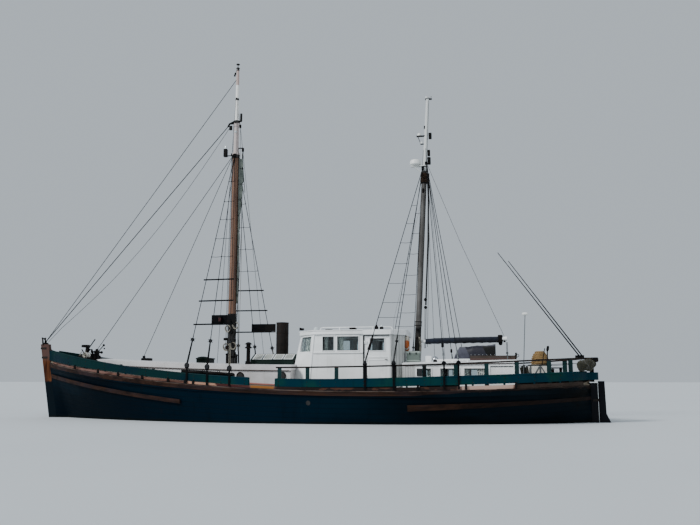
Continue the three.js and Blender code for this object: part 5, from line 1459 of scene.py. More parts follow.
# Masts
COIL_SPOTS = ((-3.05, 2.66, 0.11), (-2.78, 2.7, 0.105), (-3.0, 3.34, 0.1), (-2.7, 3.46, 0.1))
MAST_X = -2.93
BELAYING_PIN = [(0, 0), (0.014, 0), (0.016, 0.18), (0.024, 0.2), (0.02, 0.26), (0, 0.3)]
WINCH = [(0, 0), (0.09, 0), (0.08, 0.03), (0.055, 0.06), (0.05, 0.14), (0.085, 0.18), (0, 0.18)]
SMALL_WINCH = [(0, 0), (0.07, 0), (0.05, 0.04), (0.045, 0.1), (0.07, 0.13), (0, 0.13)]


def build_main_mast():
    dress("main_mast", "main_mast", sharp=30)
    x, gear = MAST_X, Bench()
    for z, radius in (
        (3.56, 0.158), (3.88, 0.158), (10.0, 0.142), (10.11, 0.142), (11.43, 0.112), (11.51, 0.112)
    ):
        gear.loop((x, 0, z), UP, radius, 0.012, 28, 6)
    gear.block((x - 0.5, -0.07, 10.08), (x - 0.36, 0.07, 10.4), 0.015)
    gear.board((x - 0.38, 0, 10.12), (x - 0.1, 0, 10.12), 0.05, 0.03, UP)
    gear.board((x + 0.1, 0, 10.4), (x + 0.3, 0, 10.4), 0.05, 0.035, UP)
    gear.block((x + 0.24, -0.03, 10.26), (x + 0.32, 0.03, 10.4), 0.008)
    crane = ((0.2, 11.5), (-0.12, 11.5), (-0.3, 11.42), (-0.36, 11.3))
    gear.rope([(x + dx, 0, z) for dx, z in crane], 0.035, 8)
    for fore, aft, low, high in (
        (-0.3, -0.18, 11.16, 11.34),
        (0.14, 0.22, 11.5, 11.82),
        (0.12, 0.19, 11.22, 11.36),
    ):
        gear.block((x + fore, -0.03, low), (x + aft, 0.03, high), 0.012)
    gear.bar((x + 0.29, 0, 10.4), (x + 0.27, 0, 9.9), 0.022, 8)
    gear.bar((x + 0.27, 0, 9.9), (x + 0.4, 0, 8.6), 0.011, 6)
    for side in (-1, 1):
        gear.bar((x, side * 0.1, 11.42), (x, side * 0.2, 11.42), 0.03, 8)
        gear.bar((x, side * 0.07, 12.43), (x, side * 0.13, 12.43), 0.022, 8)
    gear.turned((x, 0, 13.7), [(0, 0), (0.07, 0), (0.075, 0.015), (0.06, 0.03), (0, 0.035)], UP, 16)
    gear.bar((x, 0, 13.72), (x, 0, 13.9), 0.012, 6)
    gear.turned((x, 0, 13.86), [(0, 0), (0.07, 0), (0.07, 0.03), (0, 0.035)], UP, 14)
    gear.bar((x - 0.09, -0.02, 13.52), (x - 0.13, -0.02, 13.38), 0.035, 8)
    gear.bar((x, 0, 13.69), (x - 0.1, -0.02, 13.5), 0.01, 6)
    gear.coat = 1
    gear.turned((x - 0.43, -0.001, 10.4), [(0, 0), (0.05, 0), (0.05, 0.1), (0.03, 0.13), (0, 0.13)], UP, 14)
    gear.turned((x + 0.02, -0.16, 11.0), [(0, 0), (0.04, 0), (0.045, 0.06), (0, 0.08)], UP, 12)
    gear.finish("main_mast_irons", ["iron", "lens_clear"], slot="black_iron")
    build_mast_foot(x)
    lines = Bench()
    for dx, dy, top, low, radius in (
        (-0.165, -0.1, 10.05, 2.5, 0.008),
        (-0.175, 0.03, 11.4, 2.5, 0.007),
        (0.175, -0.09, 10.38, 2.5, 0.008),
        (0.19, 0.05, 11.4, 2.5, 0.007),
        (0.1, -0.19, 12.4, 2.5, 0.006),
        (-0.08, 0.2, 12.4, 2.5, 0.006),
    ):
        line = ((0.75, 0.8, top), (1, 1, 6.5), (1.15, 1.2, low))
        lines.rope([(x + dx * along, dy * across, z) for along, across, z in line], radius, 5)
    line = ((0.28, 0, 10.3), (0.3, -0.02, 7), (0.25, -0.1, 4.4), (0.2, -0.2, 2.5))
    lines.rope([(x + dx, y, z) for dx, y, z in line], 0.011, 6)
    lines.coat = 1
    lines.rope([(x + 0.22, 0.1, 10.2), (x + 0.27, 0.12, 6), (x + 0.22, 0.2, 2.5)], 0.009, 5)
    lines.finish("main_halyards", ["dark_rope", "pale_rope"], slot="rigging")


def build_mast_foot(x):
    """Rack of pins, winches, cleats and pegs about the foot of the main mast."""
    foot = Bench()
    for y in (-0.5, 0.5):
        foot.board((x + 0.02, y, 1.98), (x + 0.02, y, 2.4), 0.08, 0.08, PORT, 0.01)
    foot.board((x + 0.02, -0.56, 2.36), (x + 0.02, 0.56, 2.36), 0.1, 0.05, UP, 0.012)
    for y in between(-0.42, 0.42, 6):
        foot.turned((x + 0.02, y, 2.2), BELAYING_PIN, UP, 10)
    for cx, cz, radius in COIL_SPOTS:
        peg = Vector((cx, -0.09, cz + radius - 0.024))
        tip = peg + Vector((0, -0.25, 0.008))
        foot.bar(peg, tip, 0.012, 8)
        foot.ball(tip, 0.02)
    foot.bar((x - 0.16, -0.02, 2.95), (x - 0.3, -0.02, 2.95), 0.05, 12)
    foot.turned((x - 0.05, -0.15, 2.62), WINCH, PORT, 20)
    foot.bar((x - 0.05, -0.33, 2.62), (x - 0.05, -0.33, 2.9), 0.014, 8)
    foot.bar((x - 0.05, -0.33, 2.9), (x - 0.05, -0.43, 2.9), 0.018, 8)
    foot.turned((x + 0.05, -0.15, 3.2), SMALL_WINCH, PORT, 16)
    for z in (2.35, 2.85, 3.15):
        foot.board((x + 0.15, -0.02, z - 0.09), (x + 0.17, -0.02, z + 0.09), 0.04, 0.03, AFT, 0.006)
    foot.loop((x, 0, 2.28), UP, 0.17, 0.03, 28, 8)
    foot.finish("main_mast_foot", "iron", slot="black_iron")


def coil(name, finish, centre, radius, turns=5, thick=0.021):
    """A coil of rope that hangs on a peg."""
    step = thick * 1.06
    turn_to = facing(STARBOARD).to_3x3()
    points = []
    for i in range(int(turns * 20) + 1):
        a = math.tau * i / 20
        low = 1 + 0.35 * max(0.0, -math.sin(a))
        wide = radius * (1 + 0.09 * math.sin(i / 20 * 2.1))
        spot = Vector((wide * math.cos(a), wide * math.sin(a) * low, step * (i / 20 - turns / 2)))
        points.append(Vector(centre) + turn_to @ spot)
    bench = Bench()
    bench.rope(points, thick / 2, 8)
    piece = bench.finish(name, finish, slot="rigging", sharp=80)


def build_coils():
    for i, (x, z, radius) in enumerate(COIL_SPOTS):
        coil(f"mast_coil_{i + 1}", "pale_rope", (x, -0.24, z), radius)
    coil("mast_coil_starboard", "dark_rope", (-2.95, 0.24, 2.66), 0.11)


def build_furled_sail():
    """A sail flaked into tight folds and stopped to the after side of the mast."""
    bench = Bench()
    folds, low, high = 9, 4.3, 9.96

    def wide(z):
        return 0.06 + 0.02 * ramp(z, 4.3, 8.2) + 0.12 * ramp(z, 7.6, 9.2) - 0.05 * ramp(z, 9.2, 9.96)

    def luff(z):
        """Where the folds start behind the mast, which is thinner higher up."""
        return 0.148 - 0.0037 * (z - 4) + 0.012

    def place(u, v):
        z = low + (high - low) * u
        pinch = 1 - 0.35 * max(0.0, math.cos((z - 4.6) * math.tau / 0.62)) ** 6
        fold = abs((v * folds % 2) - 1)
        spread = 0.075 + 0.01 * math.sin(z * 3)
        y = (v - 0.5) * spread * (1.0 - 0.25 * fold) * pinch
        return Vector((MAST_X + luff(z) + wide(z) * fold * pinch, y + 0.006 * math.sin(z * 11 + v * 17), z))

    bench.weave(110, folds * 6, place)
    area = bench.area()
    sail = bench.finish("flaked_sail", "sail", slot="sail_cloth", replaces=["furled_sail"], sharp=80)
    stops = Bench()
    bight = ((0.5, -0.06, 0), (0.9, -0.055, 0.01), (1.06, 0, 0), (0.9, 0.055, -0.01), (0.5, 0.06, 0))
    for z in between(4.6, 9.56, 9):
        reach = luff(z) + wide(z)
        stops.rope([(MAST_X + reach * out, y, z + up) for out, y, up in bight], 0.006, 5)
    stops.finish("sail_stops", "dark_rope", slot="rigging")


MAIN_SHROUDS = (-3.56, -2.8, -1.99)
MIZZEN_SHROUDS = (2.65, 3.59)


def shroud_point(feet_x, foot_z, z, mast_x, top, eye=0.13, shift=0.0):
    """A point at height z on a port shroud that runs from the deck edge to the mast."""
    share = (z - foot_z) / (top - foot_z)
    y = -(deck_half(feet_x) + 0.02)
    return Vector((feet_x + (mast_x + shift - feet_x) * share, y * (1 - share) - eye * share, z))


def deadeye(bench, low, high, radius, reach, lanyard=3, seizing=0.016):
    """A deadeye at low and a smaller one reach above it on the shroud, with their lanyards in that coat."""
    run = (high - low).normalized()
    upper = low + run * reach
    for spot, size in ((low, radius), (upper, radius * 0.7)):
        rim = size * 0.8
        bench.coat = 1
        profile = [(0, 0), (rim, 0), (size, 0.016), (size, 0.04), (rim, 0.056), (0, 0.056)]
        bench.turned(spot + PORT * 0.028, profile, STARBOARD, 18)
        bench.coat = 0
        bench.loop(spot, STARBOARD, size + 0.003, 0.009, 18, 6)
        for shift in (-0.4, 0.0, 0.4):
            bench.ball(spot + AFT * shift * size + PORT * 0.028, 0.009, (1, 0.5, 1), 4, 6)
    bench.coat = lanyard
    for shift in (-0.026, 0.026):
        for face in (0.012, -0.012):
            ends = [low + AFT * shift + PORT * face, upper + AFT * shift * 0.6 + PORT * face]
            bench.rope(ends, 0.006, 5)
    bench.coat = 0
    for turn in (0.3, 1.4, 2.5):
        stray = (AFT * math.cos(turn) + UP * math.sin(turn)) * radius * 1.3
        bench.bar(upper - stray, upper + stray, 0.008, 6)
    bench.bar(upper + run * 0.06, upper + run * 0.4, seizing, 8, 0.009)


def main_shroud(x, z):
    return shroud_point(x, sheer(x) + 0.64, z, MAST_X, 10.08)


def build_shrouds():
    for wires in ("main_shrouds", "mizzen_shrouds", "mizzen_backstays"):
        for _, name in SIDES:
            dress(f"{wires}_{name}", "wire", sharp=50)
    for node in ("head_stays", "inner_stays", "stern_poles"):
        dress(node, "wire", sharp=50)
    eyes = Bench()
    for x in MAIN_SHROUDS:
        low, high = main_shroud(x, sheer(x) + 0.62), main_shroud(x, 4)
        deadeye(eyes, low, high, 0.08, 0.93, 2 if x > -2 else 3)
    for x in MIZZEN_SHROUDS:
        foot = rail_high(x) + 0.13
        low = shroud_point(x, foot, foot - 0.02, 4.06, 9.17)
        high = shroud_point(x, foot, 4, 4.45, 9.17, 0.105, -0.07)
        deadeye(eyes, low, high, 0.05, 0.5 if x < 3 else 0.74, 3, 0.034 if x < 3 else 0.022)
        if x < 3:
            run = (high - low).normalized()
            eyes.rope([low + run * reach for reach in (0.48, 0.56, 0.68, 0.76, 0.86, 0.98)], 0.05, 8, 0.03)
    eyes.mirror().finish("deadeyes", ["iron", "deadeye", "pale_rope", "dark_rope"], slot="rigging")
    build_ratlines()
    build_side_lights()
    screws = Bench()
    for x in (5.2, 5.66):
        low = Vector((x, -(deck_half(x) + 0.02), rail_high(x) + 0.09))
        run = (Vector((mizzen_x(9.37) + 0.05, -0.105, 9.37)) - low).normalized()
        screws.bar(low + run * 0.05, low + run * 0.42, 0.022, 10)
        screws.bar(low + run * 0.2, low + run * 0.28, 0.032, 10)
        if x < 5.5:
            screws.coat = 1
            screws.cube(low + run * 0.55, (0.04, 0.03, 0.07), 0.015)
            screws.coat = 0
    screws.mirror().finish("backstay_screws", ["galvanised", "iron"], slot="rigging")


def build_ratlines():
    rungs = Bench()
    knot = [(0.012, 0), (0.019, 0.006), (0.019, 0.038), (0.012, 0.044)]
    for side, heights in ((-1, (5.87, 6.59, 7.36, 8.1, 8.95)), (1, (5.75, 6.6, 7.44, 8.33))):
        flip = Vector((1, -side, 1))
        for z in heights:
            fore, mid, aft = (main_shroud(x, z) * flip for x in MAIN_SHROUDS)
            sag = UP * 0.018
            rungs.rope([fore, fore.lerp(mid, 0.5) - sag, mid, mid.lerp(aft, 0.5) - sag, aft], 0.0085, 5)
            for spot in (fore, mid, aft):
                rungs.turned(spot - UP * 0.022, knot, UP, 8)
        for z in (3.5, 4.02, 4.7, 5.42, 6.2, 6.94, 7.66):
            fore, aft = (
                shroud_point(x, rail_high(x) + 0.13, z, mizzen_x(9.17), 9.17, 0.105, -0.07) * flip
                for x in MIZZEN_SHROUDS
            )
            rungs.rope([fore, fore.lerp(aft, 0.5) - UP * 0.014, aft], 0.0075, 5)
    rungs.finish("ratlines", "dark_rope", slot="rigging")


def build_side_lights():
    """The lamps in the shrouds and the boards behind them; the board to starboard is a little longer."""
    lights = Bench()
    for side, colour, after in ((-1, 1, -2.0), (1, 2, -1.87)):
        spot, y = Vector((-2.55, side * 2.315, 3.41)), side * 2.228
        lights.coat = 0
        lights.block((-2.31, y - 0.02, 3.372), (after, y + 0.02, 3.668), 0.004)
        lights.bar((-2.9, y, 3.345), (after, y, 3.345), 0.022, 8)
        lights.disc(spot, 0.06, 0.03)
        lights.turned(spot + UP * 0.16, [(0, 0), (0.06, 0), (0.05, 0.03), (0.02, 0.05), (0, 0.05)], UP, 16)
        lights.coat = colour
        lights.disc(spot + UP * 0.03, 0.048, 0.13)
    lights.finish("side_lights", ["iron", "lens_red", "lens_green"], slot="black_iron")


def build_stays():
    """Thin lines beside the stays, and the fittings at the stem head."""
    lines = Bench()
    stem = Vector((stem_front(2.82) + 0.15, 0, 2.91))
    start = Vector((-3.2, 0.02, 11.3))
    points = []
    for share in between(0, 1, 13):
        sag = math.sin(math.pi * share)
        points.append(stem.lerp(start, share) - UP * 0.55 * sag + AFT * 0.2 * sag)
    points[0] += AFT * 0.12
    lines.rope(points, 0.008, 5)
    for side in (-1, 1):
        lines.rope([(-2.95, side * 0.1, 12.4), (-2.45, side * 2.72, 2.0)], 0.007, 5)
        lines.rope([(4.5, side * 0.08, 9.95), (4.9, side * 2.6, 2.2)], 0.006, 5)
    lines.finish("light_lines", "wire", slot="rigging")
    straps = Bench()
    head = stem_front(2.82)
    for side in (-1, 1):
        foot, top = Vector((head + 0.1, side * 0.09, 2.8)), Vector((head + 0.06, side * 0.09, 3.06))
        straps.bar(foot, top, 0.034, 12, 0.028)
        straps.ball(top, 0.042, (1, 1, 0.8))
    straps.rope([(head + 0.06, -0.09, 3.0), (head + 0.04, 0, 3.05), (head + 0.06, 0.09, 3.0)], 0.018, 8)
    for z in (2.66, 2.3):
        x = stem_front(z)
        straps.board((x - 0.008, -0.11, z), (x - 0.008, 0.11, z), 0.07, 0.014, (-1, 0, 0.2))
        for y in (-0.098, 0.098):
            straps.board((x - 0.01, y, z), (x + 0.22, y, z), 0.07, 0.014, PORT)
    straps.finish("stem_irons", "rusty", slot="black_iron")


MIZZEN_WINCH = [(0, 0), (0.05, 0), (0.04, 0.03), (0.035, 0.07), (0.05, 0.1), (0, 0.1)]


def sheave(bench, at, radius, lip, thick):
    """A pulley wheel: its edges are eased by lip."""
    edge = radius + lip
    profile = [(0, 0), (radius, 0), (edge, thick / 4), (edge, thick * 3 / 4), (radius, thick), (0, thick)]
    bench.turned(at, profile, STARBOARD, 14)


def build_mizzen():
    dress("mizzen_mast", "mizzen_mast", sharp=30)
    dress("radar_dome", "dome", sharp=40)
    gear = Bench()

    def at(z, forward=0.0, side=0.0):
        """A point that far ahead of the mast's axis at height z."""
        return Vector((mizzen_x(z) - forward, side, z))

    for z, radius in ((8.65, 0.118), (9.0, 0.105), (3.36, 0.122), (3.5, 0.12), (9.25, 0.1), (11.9, 0.08)):
        gear.loop(at(z), (0.054, 0, 1), radius, 0.012, 24, 6)
    gear.board(at(10.45), at(10.45, 0.36), 0.12, 0.03, UP)
    gear.board(at(10.14), at(10.14, 0.2), 0.06, 0.03, UP)
    gear.bar(at(10.14, 0.18), at(10.42, 0.3), 0.012)
    for low, high, fore, aft, half, edge in (
        (10.72, 10.84, 0.09, 0.0, 0.05, 0.01),
        (10.32, 10.56, -0.1, -0.2, 0.05, 0.015),
        (9.34, 9.62, -0.1, -0.2, 0.05, 0.015),
        (9.66, 9.9, -0.09, -0.17, 0.045, 0.015),
    ):
        gear.block(at(low, fore, -half), at(high, aft, half), edge)
    gear.board(at(11.88, 0.09), at(11.88, -0.16), 0.05, 0.05, UP)
    gear.bar(at(11.9, -0.13), at(12.0, -0.13), 0.008, 6)
    gear.board(at(8.35, 0.0, -0.3), at(8.35, 0.0, 0.3), 0.05, 0.04, UP)
    for y in (-0.27, 0.27):
        gear.block(at(8.2, 0.03, y - 0.03), at(8.34, -0.03, y + 0.03), 0.01)
    gear.coat = 1
    gear.board(at(9.29, 0.02), at(9.29, 0.52), 0.2, 0.025, UP)
    for y in (-0.07, 0.07):
        gear.bar(at(9.02, 0.08, y * 0.4), at(9.28, 0.4, y), 0.013)
    gear.turned(at(10.47, 0.26), [(0, 0), (0.07, 0), (0.075, 0.05), (0.05, 0.09), (0, 0.1)], UP, 18)
    gear.turned(at(10.16, 0.16), [(0, 0), (0.04, 0), (0.04, 0.07), (0, 0.08)], UP, 14)
    gear.turned(at(11.92, 0.05), [(0, 0), (0.035, 0), (0.035, 0.07), (0, 0.08)], UP, 12)
    gear.coat = 2
    for i in range(9):
        spot = at(8.66 + i * 0.04, 0.01 * math.sin(i * 2.1), 0.008 * math.cos(i * 1.7))
        gear.loop(spot, (0.2 * math.sin(i), 0.15 * math.cos(i), 1), 0.125 + 0.008 * (i % 3), 0.02, 22, 6)
    gear.coat = 0
    for z in (2.9, 3.2):
        gear.turned(at(z, 0.0, -0.1), MIZZEN_WINCH, PORT, 14)
    gear.board(at(2.5, -0.1, -0.02), at(2.62, -0.12, -0.02), 0.04, 0.03, AFT)
    gear.loop(at(2.12), UP, 0.125, 0.025, 24, 8)
    gear.finish("mizzen_irons", ["iron", "dome", "brown_rope"], slot="black_iron")
    lines = Bench()
    lines.rope([at(9.0, -0.15), (4.53, 0, 6.5), (4.41, 0, 4.1)], 0.028, 8)
    lines.rope([at(9.0, -0.1, 0.05), (4.56, 0.04, 6.5), (4.44, 0.05, 2.6)], 0.008, 5)
    for forward, side, top in (
        (0.11, -0.07, 9.9),
        (0.12, 0.06, 9.9),
        (-0.08, -0.12, 11.8),
        (0.05, 0.12, 11.8),
    ):
        line = ((top, 0.7), (6.5, 1), (2.6, 1.25))
        lines.rope([at(z, forward * away, side * away) for z, away in line], 0.006, 5)
    lines.coat = 1
    for z in (4.02, 4.3):
        sheave(lines, (4.4, -0.03, z), 0.05, 0.01, 0.06)
    lines.coat = 0
    for dx in (-0.03, 0.0, 0.03):
        lines.rope([(4.4 + dx, 0, 3.98), (4.36 + dx * 0.6, 0, 2.55)], 0.006, 5)
    lines.rope([(mizzen_x(8.35), -0.27, 8.2), (3.5, -1.9, 3.5), (3.45, -2.3, 2.2)], 0.004, 4)
    lines.coat = 2
    for aft in (0.0, 0.028, 0.056):
        line = ((2.95, -0.03, -0.125), (2.66, -0.09, -0.12), (2.1, -0.08, -0.12))
        lines.rope([at(z, forward - aft, side) for z, forward, side in line], 0.013, 6)
    lines.finish("mizzen_halyards", ["dark_rope", "iron", "pale_rope"], slot="rigging")


def boom_axis(x):
    return 2.79 + 0.075 * (x - 4.2303) / 2.95


def build_boom():
    dress("mizzen_boom", "white", sharp=40)
    cover, height = Bench(), 2.65

    def place(u, v):
        x = 4.38 + 2.63 * u
        a = math.tau * (0.52 + 0.96 * v) - math.pi / 2 - 0.12
        wide = 0.08 + 0.045 * ramp(u, 0.0, 0.1) - 0.05 * ramp(u, 0.45, 1.0)
        high = 0.09 + 0.02 * ramp(u, 0, 0.12) - 0.025 * ramp(u, 0.4, 1.0)
        low = 0.1 + 0.03 * ramp(u, 0.2, 1.0)
        y = wide * math.sin(a) * (1 - 0.12 * math.cos(a))
        z = (high if math.cos(a) > 0 else low) * math.cos(a)
        lace = 0.5 + 0.5 * math.cos(x * math.tau / 0.33)
        pull = 1 - 0.05 * lace * (0.2 + 0.8 * ramp(-math.cos(a), -0.3, 0.9))
        ripple = 0.0015 * math.sin(23 * x + 3 * math.sin(a * 2)) + 0.001 * math.sin(51 * x + a * 3)
        return Vector((x, y * pull + ripple * math.sin(a), boom_axis(x) + z * pull + ripple * math.cos(a)))

    cover.weave(150, 40, place)
    area = cover.area()
    wrap = cover.finish("boom_cover", "navy", "boom", "cover_cloth", ["mizzen_sail_cover"], sharp=80)
    gear = Bench()
    for x in between(4.5, 6.9, 9):
        low = boom_axis(x) - 0.104 - 0.03 * ramp(x, 4.9, 7.0)
        gear.rope([(x, -0.03, low), (x + 0.04, 0.03, low), (x + 0.1, -0.03, low)], 0.005, 5)
    gear.coat = 1
    gear.block((6.93, -0.075, 2.72), (7.1, 0.075, 3.0), 0.02)
    gear.block((7.12, -0.04, 2.74), (7.2, 0.04, 2.8), 0.012)
    gear.turned(
        (7.02, -0.03, 2.7),
        [(0, 0), (0.06, 0), (0.07, 0.01), (0.07, 0.05), (0.06, 0.06), (0, 0.06)],
        STARBOARD,
        14,
    )
    gear.coat = 0
    gear.rope([(7.16, 0, 2.93), (5.72, 0, 6.3), (4.56, 0, 9.3)], 0.007, 5)
    gear.finish("boom_gear", ["dark_rope", "iron"], "boom", "rigging")
    sheet = Bench()
    for dx in (-0.02, 0.0, 0.02):
        sheet.rope([(7.24 + dx, dx, z) for z in between(2.74, 2.36, 9)], 0.006, 5)
    fall = sheet.finish("boom_tackle", "dark_rope", "vessel", "rigging")
    fall.parent = None
    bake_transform(fall)
    horse = Bench()
    arch = ((-0.6, 2.04), (-0.6, 2.25), (-0.55, 2.31), (0.55, 2.31), (0.6, 2.25), (0.6, 2.04))
    horse.rope([(7.24, y, z) for y, z in arch], 0.016, 8)
    sheave(horse, (7.24, -0.02, 2.36), 0.04, 0.005, 0.04)
    horse.finish("sheet_horse", "galvanised", slot="black_iron")


# Foredeck
def build_foredeck():
    dress("windlass", "iron", edge=0.008, sharp=35)
    gear, shaft = Bench(), Vector((-8.75, 0, 2.2))
    wheel, teeth = [(0, -0.03), (0.23, -0.03), (0.23, 0.03), (0, 0.03)], 24
    for y in (-0.31, 0.31):
        gear.turned(shaft + STARBOARD * y, wheel, STARBOARD, 30)
        for i in range(teeth):
            a = math.tau * i / teeth
            spot = shaft + Vector((0.24 * math.cos(a), y, 0.24 * math.sin(a)))
            gear.cube(spot, (0.014, 0.028, 0.014), 0.003)
    for side in (-1, 1):
        drum = [(0, 0), (0.17, 0), (0.12, 0.05), (0.1, 0.12), (0.15, 0.2), (0, 0.2)]
        gear.turned(shaft + STARBOARD * side * 0.44, drum, (0, side, 0), 20)
        gear.board((-8.95, side * 0.38, 2.36), (-8.5, side * 0.38, 2.36), 0.1, 0.05, UP, 0.01)
    for a, b, wide, thick, way, edge in (
        ((-8.87, 0.12, 2.05), (-8.87, 0.12, 2.7), 0.07, 0.06, PORT, 0.008),
        ((-8.98, -0.1, 2.73), (-8.74, -0.1, 2.73), 0.24, 0.1, UP, 0.015),
        ((-8.83, -0.16, 2.3), (-8.78, -0.16, 2.72), 0.06, 0.04, PORT, 0.006),
        ((-8.62, 0.1, 2.3), (-8.72, 0.1, 2.62), 0.06, 0.05, PORT, 0.006),
    ):
        gear.board(a, b, wide, thick, way, edge)
    gear.rope([
        (-8.96, -0.2, 2.6),
        (-8.84, -0.22, 2.44),
        (-8.9, -0.2, 2.3),
        (-8.75, -0.22, 2.42),
        (-8.68, -0.2, 2.62),
    ], 0.02, 8)
    for a, b, radius, sides in (
        ((-8.74, -0.34, 2.42), (-8.34, -0.34, 2.98), 0.022, 8),
        ((-8.36, -0.28, 2.36), (-8.02, -0.28, 2.72), 0.018, 8),
        ((-8.43, -0.35, 2.5), (-8.43, 0.35, 2.5), 0.03, 10),
    ):
        gear.bar(a, b, radius, sides)
    for spot, radius in (
        ((-8.0, -0.28, 2.75), 0.045),
        ((-7.97, -0.28, 2.62), 0.03),
        ((-8.43, -0.36, 2.5), 0.055),
        ((-8.43, 0.36, 2.5), 0.055),
    ):
        gear.ball(spot, radius)
    gear.ball((-8.6, -0.3, 2.58), 0.06, (1.2, 0.6, 0.8))
    gear.block((-8.95, 0.1, 2.0), (-8.7, 0.3, 2.45), 0.015)
    for side in (-1, 1):
        for x in (-9.35, -7.75):
            foot, y = sheer(x) + 0.09, side * (deck_half(x) - 0.34)
            for dy in (-0.09, 0.09):
                gear.bar((x, y + dy, foot), (x, y + dy, foot + 0.34), 0.045, 12)
            gear.bar((x, y - 0.17, foot + 0.26), (x, y + 0.17, foot + 0.26), 0.03, 10)
    gear.coat = 1
    gear.rope([(-9.1, 0.3, 2.1), (-9.5, 0.2, 2.12), (-9.95, 0.12, 2.3), (-10.45, 0.1, 2.6)], 0.022, 8)
    gear.coat = 2
    for i in range(4):
        gear.loop(shaft + PORT * (0.475 + i * 0.032), STARBOARD, 0.12 + 0.01 * (i % 2), 0.013, 22, 6)
    for low, high in (
        ((-8.96, -0.46, 2.12), (-8.82, -0.46, 2.5)),
        ((-8.84, -0.48, 2.1), (-8.62, -0.48, 2.52)),
        ((-8.66, -0.46, 2.12), (-8.52, -0.46, 2.44)),
    ):
        gear.bar(low, high, 0.017, 8)
    gear.finish("windlass_gear", ["iron", "dark_rope", "pale_rope"], slot="black_iron")
    build_rolled_canvas()
    roof = Bench()
    z = trunk_edge(-6.3) + 0.04
    roof.block((-6.5, -0.16, z - 0.03), (-6.16, 0.16, z + 0.11), 0.02)
    roof.finish("trunk_roof_gear", "iron", slot="black_iron")
    build_stowed_spars()


# Stern
def build_rolled_canvas():
    roll, heart, width = Bench(), Vector((-8.36, -0.86, 2.35)), 0.3

    def place(u, v):
        a = math.tau * (v * 2.6)
        radius = 0.04 + 0.07 * v + 0.006 * math.sin(u * 19 + v * 6)
        return heart + Vector((radius * math.cos(a), -0.15 + 0.3 * u, radius * math.sin(a) * 0.95))

    roll.weave(24, 64, place)
    area = roll.area()
    piece = roll.finish("rolled_canvas", "canvas", slot="sail_cloth", sharp=80)
    ties = Bench()
    for y in (-0.09, 0.09):
        ties.loop(heart + STARBOARD * y, STARBOARD, 0.12, 0.007, 24, 6)
    ties.board(heart + Vector((0, -0.16, -0.135)), heart + Vector((0, 0.16, -0.135)), 0.16, 0.03, UP)
    foot = sheer(heart.x) + 0.06
    for y in (-0.1, 0.1):
        ties.board((heart.x, heart.y + y, foot), heart + Vector((0, y, -0.14)), 0.1, 0.05, AFT)
    ties.finish("canvas_ties", ["dark_rope"], slot="rigging")


def build_stowed_spars():
    """Two spars lashed on chocks along the port side of the trunk."""

    def lower(x):
        return 0.11 * ramp(x, -3.95, -2.05)

    stowed = Bench()
    line = []
    for i, x in enumerate(between(-3.95, -2.05, 18)):
        line.append((x, -2.2 + 0.02 * math.sin(i), 1.72 - lower(x)))
    stowed.rope(line, 0.075, 12, 0.06)
    stowed.rope([(x * 0.98 - 0.05, y + 0.13, z - 0.02) for x, y, z in line], 0.06, 10)
    stowed.coat = 1
    for i in (2, 7, 12, 16):
        stowed.loop((line[i][0], -2.15, line[i][2]), AFT, 0.125, 0.01, 18, 6)
    for x in (-3.7, -2.3):
        top = 1.6 - lower(x)
        stowed.board((x, -2.3, sheer(x) + 0.02), (x, -2.3, top + 0.02), 0.08, 0.05, AFT)
        stowed.board((x, -2.34, top), (x, -1.98, top), 0.06, 0.04, UP)
    stowed.finish("stowed_spars", ["iron", "dark_rope"], slot="black_iron")


AERIAL_HEAD = [(0, 0), (0.08, 0), (0.105, 0.03), (0.105, 0.06), (0.08, 0.09), (0, 0.1)]


